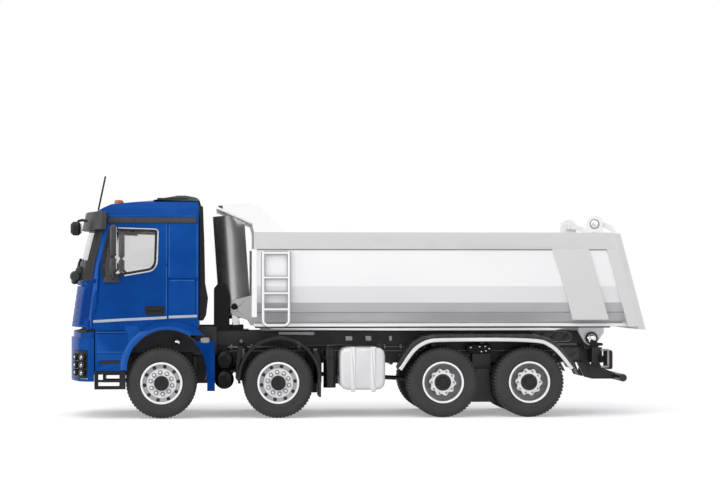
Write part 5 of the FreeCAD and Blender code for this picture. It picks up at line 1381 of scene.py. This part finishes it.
    def inside(self) -> None:
        """Seats, dashboard and wheel with their grain, the roof console, and the floor under them."""
        console = slab(soften([(69.4, 57.3), (73.9, 57.5), (73.6, 58.9), (70.4, 58.9)], 0.5), -9.0, 9.0, 0.3)
        build("roof_console", [console], "cab", TRIM, 30)
        skin("cab_interior", TRIM, 0.2, smooth=30)
        skin("cab_floor", CHASSIS_AND_SHADOW, 0.12)

    def make(self) -> None:
        """Build the whole cab."""
        self.shell()
        self.side_trims()
        self.front_trims()
        self.glazing()
        self.roof()
        self.visor()
        self.mirrors()
        self.inside()


# ----------------------------------------------------------------------------------------- chassis
@dataclass
class Chassis:
    """Frame, axles, tanks, mudguards, bumper, lamps and steps."""

    tank: tuple[float, float, float, float] = (-8.6, 5.6, 8.7, 22.0)
    straps: Points = ((0.6, 2.25), (-5.7, -4.05))
    arch: tuple[float, float] = (59.25, 15.3)
    lamp_rows: tuple[float, ...] = (14.4, 16.8, 19.2)
    lamp_spots: Sequence[Corner] = ((62.0, 85.6, 24.05), (25.0, 87.75, 20.6))  # angle, x and y
    arch_lip: Points = ((12.4, 24.4), (12.4, 25.55), (12.6, 25.75), (13.1, 25.7), (14.4, 25.2), (14.9, 24.6))
    arch_tail: Points = ((51.1, 24.1), (49.6, 22.2), (48.1, 19.7), (47.2, 16.0), (46.9, 12.0), (46.9, 8.6),
                         (44.5, 8.6), (44.5, 19.7), (45.1, 24.1))
    guard_lip: Points = ((-13.2, 15.1), (-15.5, 18.6), (-18.1, 21.9), (-21.5, 23.85), (-25.0, 24.4),
                         (-56.4, 24.4), (-60.9, 22.5), (-64.1, 19.4), (-67.3, 15.2))
    guard_strip: Points = ((-12.4, 15.7), (-14.6, 19.3), (-17.3, 22.9), (-20.9, 24.95), (-24.8, 25.5),
                           (-56.6, 25.5), (-61.4, 23.5), (-64.9, 20.2), (-68.2, 15.9))
    flaps: tuple[Points, ...] = (
        ((11.6, 7.2), (12.5, 7.2), (12.5, 15.5), (14.0, 20.7), (12.5, 20.9), (11.6, 18.0)),
        ((35.9, 22.3), (37.4, 22.3), (38.1, 12.4), (37.2, 12.4), (37.1, 16.0), (36.0, 19.6)))
    liner_panels: tuple[Points, ...] = (
        ((34.4, 11.2), (37.7, 11.2), (38.0, 17.0), (37.0, 22.6), (34.4, 22.6)),
        ((12.2, 7.3), (15.6, 7.3), (15.6, 21.5), (12.9, 21.0), (12.2, 18.0)),
        ((10.7, 10.3), (13.2, 10.3), (13.2, 21.5), (10.7, 21.5)),
        ((40.4, 11.5), (45.9, 11.5), (45.9, 22.5), (40.4, 22.5)))

    def frame_pieces(self) -> None:
        """The frame, axles, springs and driveline in sprayed black."""
        for node in ("frame_rails", "subframe", "engine_block", "leaf_springs", "rear_axle_casings",
                     "gearbox_and_shafts", "front_axle_beams", "rear_crossmember"):
            skin(node, CHASSIS_AND_SHADOW, 0.12)
        for order in ("first", "second"):
            for side in ("left", "right"):
                skin(f"knuckle_{order}_{side}", CHASSIS_AND_SHADOW, 0.08)
            skin(f"track_rod_{order}", GREY_METAL_AND_PAINTED_LIGHT, 0.05)
        bolts = [lathe([(0, 8.35), (0.42, 8.35), (0.42, 8.62), (0.3, 8.7), (0, 8.7)], (x, 0, 19.1), steps=10)
                 for x in np.arange(-64.0, 46.0, 5.5)]
        blocks = [slab(rectangle(span, (23.65, 25.2), 0.25), 8.3, 9.3, 0.15)
                  for span in ((0.8, 3.0), (-5.3, -3.4), (-11.9, -11.0))]
        wedge = slab(soften([(13.0, 25.5), (24.3, 25.7), (24.3, 26.5), (13.0, 26.5)], 0.2), 8.3, 9.6, 0.12)
        # Grey strips along the frame's flanges: their edges, with a painted highlight on the black frame.
        rails = [slab(rectangle((-71.4, -56.8), (22.3, 22.7), 0.1), 8.6, 9.3, 0.1),
                 slab(rectangle((-64.0, 40.0), (20.35, 20.6), 0.05), 8.4, 8.9, 0.05)]
        end = curved([(-56.0, 26.75), (-66.8, 26.75), (-69.3, 26.2), (-69.6, 23.5), (-66.0, 23.3),
                      (-56.0, 23.3)], 2)
        faces = [slab(rectangle((-69.2, -57.0), (23.5, 26.6), 0.5), 8.2, 9.2, 0.1),
                 slab(rectangle((-72.3, -65.3), (17.4, 21.6), 0.2), 8.4, 9.3, 0.1)]
        pipe = tube([(43.0, 9.6, 21.7), (20.0, 9.6, 21.8), (6.0, 9.6, 22.4), (-10.0, 9.6, 21.8),
                     (-30.0, 9.6, 21.6)], 0.24, 8)
        clips = [slab(rectangle((x, x + 0.7), (21.2, 22.5), 0.1), 8.4, 9.9, 0.08)
                 for x in (39.0, 32.5, 17.5, 8.2, -9.8, -15.0, -22.5)]
        fit("chassis", (
            ("rail_bolts", bolts, GREY_METAL_AND_PAINTED_LIGHT, "chassis_metal", 40),
            ("rail_brackets", blocks, TANK, "steel", 30),
            ("side_wedges", [wedge], TANK, "steel", 30),
            ("rail_edge_highlights", rails, GREY_METAL_AND_PAINTED_LIGHT, "steel", 30),
            ("subframe_ends", [ribbon(end, 0.34, 8.2, 9.5, 0.06)], GREY_METAL_AND_PAINTED_LIGHT, "chassis_metal", 30),
            ("subframe_faces", faces, CHEQUER, "chassis_metal", 30),
            ("brake_pipes", [pipe, *clips], GREY_METAL_AND_PAINTED_LIGHT, "steel", 35)))

    def liners(self) -> None:
        """Splash liners inboard of the second axle's tyres and behind the air tanks."""
        liners = [slab(soften(panel, 0.4), 10.6, 11.4, 0.1) for panel in self.liner_panels]
        build("splash_liners", both(*liners), "chassis", PLASTIC, 30)

    def tanks(self) -> None:
        """Fuel tank with straps and cap, air tanks, the right side's boxes, canister fittings and knobs."""
        x0, x1, z0, z1 = self.tank
        body = slab(rectangle((x0, x1), (z0, z1), 2.8), 10.6, 24.15, 1.3, steps=6)
        arm = slab(rectangle((-4, 1), (17, 20), 0.2), 8.5, 11.0, 0.1)
        build("fuel_tank_body", [body, arm], "chassis", TANK, 30, replaces=["fuel_tank"])
        cap = lathe([(0, 21.6), (1.15, 21.6), (1.15, 22.5), (1.0, 22.95), (0, 23.0)], (-7.2, 21, 0),
                    axis=2, steps=24)
        build("fuel_cap", [cap], "chassis", PLASTIC, 40)
        straps, feet = [], []
        for low, high in self.straps:
            around = rectangle((low, high), (z0 - 0.12, z1 + 0.12), 0.2)
            straps.append(slab(around, 22.4, 24.32, 0.3, steps=4))
            feet.append(slab(rectangle((low + 0.2, high - 0.2), (z0 - 0.7, z0 + 0.2), 0.2), 22.6, 24.2, 0.15))
        build("tank_straps", straps, "chassis", TANK, 30)
        build("tank_strap_feet", feet, "chassis", BRIGHT, 30)
        bulge = np.radians(np.linspace(0, 90, 9))
        end = np.stack([2.95 * np.cos(bulge), 1.6 * np.sin(bulge)], 1)
        dome = np.concatenate([end[::-1] * [1, -1] + [0, 12.5], end + [0, 22.85]])
        middles = [(41.6, 0, z) for z in (18.2, 12.15)]
        air = [lathe(dome, middle) for middle in middles]
        seam = ((2.9, 22.4), (3.02, 22.4), (3.02, 22.8), (2.9, 22.8))
        seams = [lathe(seam, middle, ring=True) for middle in middles]
        plate = slab(rectangle((39.6, 43.6), (10.5, 20.5), 0.4), 8.5, 11.4, 0.15)
        build("air_tank_bodies", air + seams + [plate], "chassis", GLOSS_ENAMEL, 55,
              replaces=["air_tanks"])
        skin("side_boxes", GLOSS_BLACK, 0.4, smooth=30)
        at = (8.7, 21.2, 0)
        collar = lathe([(1.9, 18.2), (2.1, 18.3), (2.1, 19.1), (1.9, 19.2)], at, axis=2, ring=True, steps=32)
        top = lathe([(0, 21.2), (1.5, 21.2), (1.4, 21.9), (0.7, 22.3), (0, 22.35)], at, axis=2, steps=24)
        build("canister_fittings", [collar, top], "chassis", PLASTIC, 40)
        knob = lathe([(0, 8.3), (0.35, 8.3), (0.35, 10.4), (0.7, 10.5), (0.7, 11.2), (0.5, 11.5), (0, 11.55)],
                     (36.2, 0, 23.6), steps=20)
        build("valve_knobs", both(knob), "chassis", GREY_METAL_AND_PAINTED_LIGHT, 40)

    def guards(self) -> None:
        """Mudguards of the second axle and the bogie, arch strips with their marker lamps, and brackets."""
        arches = skin("front_mudguards", GLOSS_BLACK, 0.15, smooth=28)
        paint(arches, BLUE, (44.0, 15.0, 8.0), (47.0, 26.0, 24.5))
        back = slab(rectangle((43.9, 51.4), (19.5, 28.4), 0.3), 13.0, 13.6, 0.1)
        lamps = slab(rectangle((46.15, 48.9), (23.5, 25.2), 0.5), 24.3, 25.3, 0.25)
        brackets = [slab(rectangle(x, z, 0.15), 13.8, 14.8, 0.12)
                    for x, z in (((35.2, 36.2), (18.3, 21.4)), ((12.2, 13.6), (17.4, 21.4)))]
        fit("chassis", (
            ("arch_tails", [slab(self.arch_tail, 24.2, 25.08, 0.12)], BLUE, "cab_paint", 30),
            ("arch_backs", [back], CHASSIS_AND_SHADOW, "chassis_metal", 30),
            ("marker_lamps", [lamps], GREY_METAL_AND_PAINTED_LIGHT, "", 30),
            ("guard_flaps", [slab(flap, 17.9, 24.0, 0.12) for flap in self.flaps], PLASTIC,
             "black_plastic", 30),
            ("guard_brackets", brackets, GREY_METAL_AND_PAINTED_LIGHT, "steel", 30)))
        skin("rear_mudguards", CHEQUER, 0.12, smooth=28)
        ends = [arc(x, AXLE_Z, 11.4, start, start + 20, 6) for (_, x), start in zip(DRIVEN, (196, -36))]
        plate = slab(np.concatenate([*ends, [(-42.6, 15.0), (-38.1, 15.0)]]), 13.2, 14.2, 0.15)
        bracket = slab(rectangle((-43.4, -35.4), (19.6, 22.6), 1.4), 12.0, 12.9, 0.2)
        bolt = ((0, 12.8), (0.36, 12.8), (0.36, 13.1), (0.2, 13.2), (0, 13.2))
        spots = ((-36.7, 21.6), (-39.6, 21.9), (-41.4, 21.9), (-41.6, 20.5), (-40.2, 20.3), (-42.7, 21.2))
        fit("chassis", (
            ("rear_guard_lips", [ribbon(curved(self.guard_lip), 1.15, 24.2, 25.12, 0.2)], TANK, "steel", 30),
            ("bogie_plates", [plate], CHASSIS_AND_SHADOW, "chassis_metal", 30),
            ("bogie_brackets", [bracket], PLASTIC, "chassis_metal", 30),
            ("bogie_bolts", [lathe(bolt, (x, 0, z), steps=12) for x, z in spots], BRIGHT, "steel", 40),
            ("rear_guard_strips", [ribbon(curved(self.guard_strip), 1.15, 23.2, 24.6, 0.1)], CHEQUER,
             "black_plastic", 30)))

    def front_end(self) -> None:
        """Bumper, headlamps, step panels and steps, the wheel arch's liner and lips, and the gaps' seals."""
        # The bumper, the step panels and their corners take the paler blue, which is painted light.
        skin("bumper", BLUE_PAINTED_LIGHT, 0.2, smooth=28)
        skin("headlamps", PLASTIC, 0.15, smooth=28)
        middle = (0, 0, 0)
        bowl = lathe([(0, -0.1), (0.6, 0.0), (0.9, 0.3), (0.95, 0.35), (0.95, -0.8), (0, -0.8)], middle,
                     axis=0, steps=28)
        ring = lathe([(0.9, -0.3), (1.08, -0.3), (1.08, 0.42), (0.9, 0.46)], middle, axis=0, ring=True,
                     steps=28)
        bulb = lathe([(0, 0.0), (0.3, 0.0), (0.3, 0.45), (0.15, 0.6), (0, 0.62)], middle, axis=0, steps=16)
        for name, lamp, finish in (("bowls", bowl, SMOKED), ("rings", ring, PLASTIC),
                                   ("bulbs", bulb, CHROME)):
            placed = [turned(lamp, angle).moved(x, y, z)
                      for z in self.lamp_rows for angle, x, y in self.lamp_spots]
            build(f"lamp_{name}", both(*placed), "chassis", finish, 40)
        recesses = [slab(rectangle((73.8, 80.3), (17.0, 18.2), 0.4), 24.9, 26.0, 0.02),
                    slab(rectangle((70.0, 82.0), (26.35, 26.6), 0), 24.95, 26.0, 0.02),
                    slab(rectangle((72.0, 81.0), (18.8, 20.4), 0.3), 25.06, 26.0, 0.02)]
        skin("step_panels", BLUE_PAINTED_LIGHT, 0.14, both(*recesses), smooth=28)
        slot_back = slab(rectangle((73.9, 80.2), (17.1, 18.1), 0.35), 24.8, 24.96, 0.03)
        build("panel_slots", both(slot_back), "chassis", PLASTIC, 30)
        skin("cab_steps", PLASTIC, 0.14, smooth=28)
        liner = self.arch_band((36.0, 196.0), [(12.15, 14.6), (12.42, 14.6), (12.42, 24.3), (12.15, 24.3)])
        wall = slab(arc(*self.arch, 12.35, 24, 156, 40), 14.3, 14.9, 0.05)
        # The arch's lips and the step panel's crease and sill carry the painted highlight.
        cab_lip, panel_lip = (self.arch_band(turn, self.arch_lip) for turn in ((57.0, 124.0), (0.0, 56.6)))
        fit("cab", (("arch_liners", [liner, wall], TRIM, "interior", 30),
                    ("arch_lips", [cab_lip], BLUE_PAINTED_HIGHLIGHT, "cab_paint", 30)))
        corner = np.concatenate([[(72.2, 28.9), (68.5, 28.9)], arc(*self.arch, 13.9, 54, 26, 10),
                                 [(72.2, 21.3)]])
        crease = slab(rectangle((72.3, 81.3), (26.7, 27.1), 0), 24.9, 25.45, 0.12)
        sill = slab(rectangle((72.6, 80.9), (20.5, 20.9), 0.15), 24.9, 25.4, 0.12)
        fit("chassis", (
            ("panel_lips", [panel_lip], BLUE_PAINTED_HIGHLIGHT, "cab_paint", 30),
            ("panel_corners", [slab(corner, 24.0, 25.1, 0.1)], BLUE_PAINTED_LIGHT, "cab_paint", 30),
            ("panel_creases", [crease, sill], BLUE_PAINTED_HIGHLIGHT, "cab_paint", 30)))
        front = slab(rectangle((-19.4, 19.4), (26.7, 27.5), 0.2), 86.7, 87.3, 0.1, Plane.YZ)
        ends = both(corner_patch((62.0, 4.0), (26.8, 27.5), -0.1))
        build("bumper_gap_seal", [front, *ends], "chassis", PLASTIC, 30)
        cylinder = lathe([(0, 14.8), (1.0, 14.8), (1.05, 16.0), (1.0, 18.4), (0.5, 18.8), (0, 18.8)],
                         (56.2, 0, 23.75), steps=24)
        build("arch_cylinders", both(cylinder), "cab", BRIGHT, 40)
        edge = plan_corner(np.linspace(90, 17.3, 16), np.full(16, 27.9), -1.2)[:, :2]
        seal = slab(np.concatenate([edge, [(80.0, 18.0), (80.0, 23.8)]]), 25.5, 28.4, 0.05, Plane.XY)
        build("panel_gap_seals", both(seal), "chassis", PLASTIC, 30)

    def arch_band(self, turn: tuple[float, float], section: Points) -> Patch:
        """A section of radius and y, carried round the front wheel arch between two angles from the front.

        The point at angle a is (x + r cos a, y, z + r sin a), where x and z are the arch's middle.

        Args:
            turn: The angles in degrees.
            section: Pairs of radius and y.
        Returns:
            A closed patch.
        """
        angle = np.radians(np.linspace(*turn, 48))[:, None]
        radius, across = np.array(section).T
        x, z = self.arch[0] + radius * np.cos(angle), self.arch[1] + radius * np.sin(angle)
        return loft(np.stack([x, np.broadcast_to(across, x.shape), z], -1))

    def rear_end(self) -> None:
        """Underrun guard, tail lamps with their lenses, claws, supports and bolts."""
        skin("underrun_guard", CHASSIS_AND_SHADOW, 0.12)
        skin("tail_lamps", PLASTIC, 0.15, smooth=28)
        for i, finish in enumerate((RED, RED, AMBER, WHITE_LENS, RED)):
            outline = rectangle((17.3 + 1.3 * i, 18.4 + 1.3 * i), (15.4, 20.5), 0.3)
            lens = slab(outline, -80.38, -80.1, 0.08, Plane.YZ)
            build(f"tail_lens_{i}", both(lens), "chassis", finish, 30)
        hoop = band(denser(((-76.6, 21.1), (-78.9, 21.1), (-78.9, 15.8), (-76.6, 15.8)), 31), 0.6)
        claw = soften([(-74.6, 21.9), (-78.6, 22.2), (-78.5, 23.0), (-76.4, 23.2), (-75.2, 24.1),
                       (-74.6, 23.9)], 0.3)
        stay = soften([(-68.0, 17.2), (-69.0, 17.2), (-71.3, 12.9), (-70.3, 12.9)], 0.15)
        at = (-75.15, 0, 24.5)
        head = lathe([(0, 15.0), (1.45, 15.0), (1.45, 15.5), (1.1, 15.8), (0, 15.9)], at, steps=24)
        ring = lathe([(1.4, 14.8), (2.0, 14.8), (2.0, 15.2), (1.4, 15.2)], at, ring=True, steps=32)
        fit("chassis", (
            ("lamp_guards", [slab(hoop, 23.7, 24.3, 0.1)], GREY_METAL_AND_PAINTED_LIGHT, "steel", 30),
            ("latch_claws", [slab(claw, 15.2, 16.6, 0.15)], PLASTIC, "steel", 30),
            ("guard_supports", [slab(stay, 13.0, 14.0, 0.12)], GREY_METAL_AND_PAINTED_LIGHT, "steel", 30),
            ("tip_pin_heads", [head], CHROME, "steel", 40),
            ("tip_pin_rings", [ring], PLASTIC, "black_plastic", 40)))

    def make(self) -> None:
        """Build the whole chassis."""
        self.frame_pieces()
        self.liners()
        self.tanks()
        self.guards()
        self.front_end()
        self.rear_end()


# -------------------------------------------------------------------------------- cylinder and tub
@dataclass
class Cylinder:
    """The telescopic cylinder and its cradle."""

    tubes: tuple[str, ...] = ("base", "stage_two", "stage_three", "stage_four")

    def make(self) -> None:
        """Give the cradle, the cover and each tube their finish."""
        skin("cylinder_cradle", PLASTIC, 0.15, smooth=28)
        skin("cylinder_cover", TURNED_STEEL, 0.2, smooth=28)
        for name in self.tubes:
            skin(f"cylinder_{name}", BRIGHT, 0.1, smooth=28)


@dataclass
class TipperBody:
    """The silver load box with its rails and posts, canopy, ladder, brackets and tailgate."""

    rungs: tuple[float, ...] = (33.9, 38.9, 43.8, 51.4)
    posts: tuple[tuple[Points, Points], ...] = (
        (((-61.0, 52.7), (-65.3, 38.9), (-67.6, 30.6)), ((-72.5, 52.7), (-76.5, 38.9), (-79.0, 30.6))),
        (((-78.2, 52.7), (-82.1, 38.9), (-85.2, 28.4)), ((-82.0, 52.7), (-85.7, 38.9), (-88.5, 28.4))))
    floor_rail: Points = ((27.0, 27.6), (27.0, 27.95), (-60.0, 28.0), (-65.3, 27.8), (-62.5, 27.2),
                          (-11.0, 27.2))
    gate_hinge: Corner = (-74.34, 0, 60.6)

    def load_box(self) -> None:
        """The tub: pale walls with painted shade on the lower facets, greyer rails and posts, lines along its
        foot, strips of painted shade under the rail, in the crease and along the foot, and the gate hinge's
        ears.
        """
        tub = skin("load_box", SILVER, 0.18, smooth=12)
        paint(tub, SILVER_TRIM, (-82.0, 25.3, 44.0), (33.0, 25.7, 58.0))
        # Painted shade on the lower facets: a lighter band, then a deeper one below.
        paint(tub, SILVER_LIGHT_SHADE, (-90.0, 24.3, 36.2), (33.0, 25.02, 40.9))
        paint(tub, SILVER_DEEP_SHADE, (-90.0, 20.9, 29.6), (33.0, 24.6, 36.1))
        posts = [self.post(front, rear) for front, rear in self.posts]
        posts.append(slab([(-79.4, 57.6), (-81.1, 57.6), (-82.3, 52.6), (-80.4, 52.6)], 25.3, 25.56, 0.04))
        # seam, crease, shade and gap are strips of painted shade: under the rail, in the crease, under the
        # foot rail and above it; foot is the foot rail itself.
        bars = {name: slab(rectangle(x, z, radius), *levels) for name, x, z, radius, levels in (
            ("seam", (-79.0, 32.3), (52.35, 52.75), 0, (24.7, 25.1, 0.05)),
            ("crease", (-84.0, 32.2), (32.75, 33.1), 0.05, (22.6, 23.2, 0.05)),
            ("shade", (-80.0, 32.0), (28.0, 28.45), 0.05, (20.0, 21.2, 0.05)),
            ("foot", (-86.5, 32.35), (28.45, 29.35), 0, (20.8, 21.9, 0.15)),
            ("gap", (-84.0, 32.2), (29.5, 29.85), 0, (20.8, 21.15, 0.05)))}
        ears = [(0, 24.55), (2.6, 24.55), (2.75, 24.7), (2.75, 25.35), (2.6, 25.5), (0, 25.5)]
        rings = [(1.2, 25.4), (1.55, 25.4), (1.55, 25.62), (1.2, 25.62)]
        pins = [(0, 25.2), (1.2, 25.2), (1.2, 25.75), (0.95, 25.95), (0, 25.95)]
        fit("tipper_body", (
            ("rail_shadow_gaps", [bars["seam"]], GREY_METAL_AND_PAINTED_LIGHT, "body_silver", 30),
            ("tub_posts", posts, SILVER_TRIM, "body_silver", 20),
            ("tub_crease_shade_lines", [bars["crease"]], GREY_METAL_AND_PAINTED_LIGHT, "body_silver", 30),
            ("tub_foot_shadow_strips", [bars["shade"]], CHASSIS_AND_SHADOW, "body_silver", 30),
            ("tub_floor_rails", [slab(self.floor_rail, 19.4, 21.3, 0.08)], SILVER, "body_silver", 30),
            ("tub_foot_rails", [bars["foot"]], SILVER, "body_silver", 30),
            ("tub_foot_gap_shade", [bars["gap"]], GREY_METAL_AND_PAINTED_LIGHT, "body_silver", 30),
            ("gate_ears", [lathe(ears, self.gate_hinge, steps=40)], SILVER, "body_silver", 30),
            ("gate_ear_rings", [lathe(rings, self.gate_hinge, ring=True, steps=32)], GREY_METAL_AND_PAINTED_LIGHT, "steel", 30),
            ("hinge_pins", [lathe(pins, self.gate_hinge, steps=28)], BRIGHT, "steel", 40)))

    def post(self, front: Points, rear: Points) -> Patch:
        """A post on the tub's side, from the rail down, that bends inwards below 38.9.

        Args:
            front: X and z of its front edge at three heights.
            rear: The same of its rear edge.
        Returns:
            A closed patch.
        """
        levels = (25.54, 25.54, 24.6)
        return loft(np.array([[(x, y - 2.6, z), (x, y, z), (x_rear, y, z), (x_rear, y - 2.6, z)]
                              for (x, z), (x_rear, _), y in zip(front, rear, levels)]))

    def canopy(self) -> None:
        """The cover over the cylinder, cast with its lip: only its finish is set."""
        skin("canopy", SILVER, 0.18, smooth=20)

    def ladder(self) -> None:
        """A bent tube with four rungs and two pairs of feet."""
        front, rear, foot, top = 29.55, 21.55, 28.95, 51.9
        y, corner = 26.08, 1.6
        line = np.concatenate([[(front, top)], arc(front - corner, foot + corner, corner, 0, -90, 8),
                               arc(rear + corner, foot + corner, corner, -90, -180, 8), [(rear, top)]])
        rail = tube(np.insert(line, 1, y, axis=1), 0.4)
        rungs = [tube([(rear, y, z), (front, y, z)], 0.34, 10) for z in self.rungs]
        feet = [tube([(x, 24.9, z), (x, y, z)], 0.3, 10) for x in (front, rear) for z in (43.4, 51.4)]
        build("ladder_tubes", [rail, *rungs, *feet], "tipper_body", LADDER, 40,
              replaces=["side_ladder"])
        # Grey strips behind the tubes and rungs: painted shadow round the ladder.
        backs = [ribbon(line, 1.14, 25.35, 25.72, 0.05)]
        backs += [slab(rectangle((rear, front), (z - 0.5, z + 0.5), 0.05), 25.35, 25.72, 0.05)
                  for z in self.rungs]
        build("ladder_shadow_strips", backs, "tipper_body", GREY_METAL_AND_PAINTED_LIGHT, 30)

    def tailgate(self) -> None:
        """The framed tailgate, which hangs from its arms."""
        gate = skin("tailgate", SILVER, 0.2, smooth=20)
        paint(gate, SILVER_TRIM, (-92.0, 25.3, 27.0), (-79.0, 25.7, 58.0))

    def make(self) -> None:
        """Build the whole tipper body."""
        self.load_box()
        self.canopy()
        skin("trunnion_brackets", SILVER, 0.15)
        pin = lathe([(0, 6.3), (1.05, 6.3), (1.05, 7.05), (0.8, 7.2), (0, 7.25)], (38.35, 0, 34.5), steps=24)
        build("trunnion_caps", both(pin), "tipper_body", PLASTIC, 40)
        self.ladder()
        self.tailgate()


def main() -> None:
    """Build the scene class by class, and log each."""
    logging.basicConfig(level=logging.INFO, format="%(message)s")
    for part in (Studio(), Tyres(), Wheels(), Cab(), Chassis(), Cylinder(), TipperBody()):
        before = len(bpy.data.objects)
        part.make()
        LOG.info("%s: %d pieces", type(part).__name__, len(bpy.data.objects) - before)


if __name__ == "__main__":
    main()
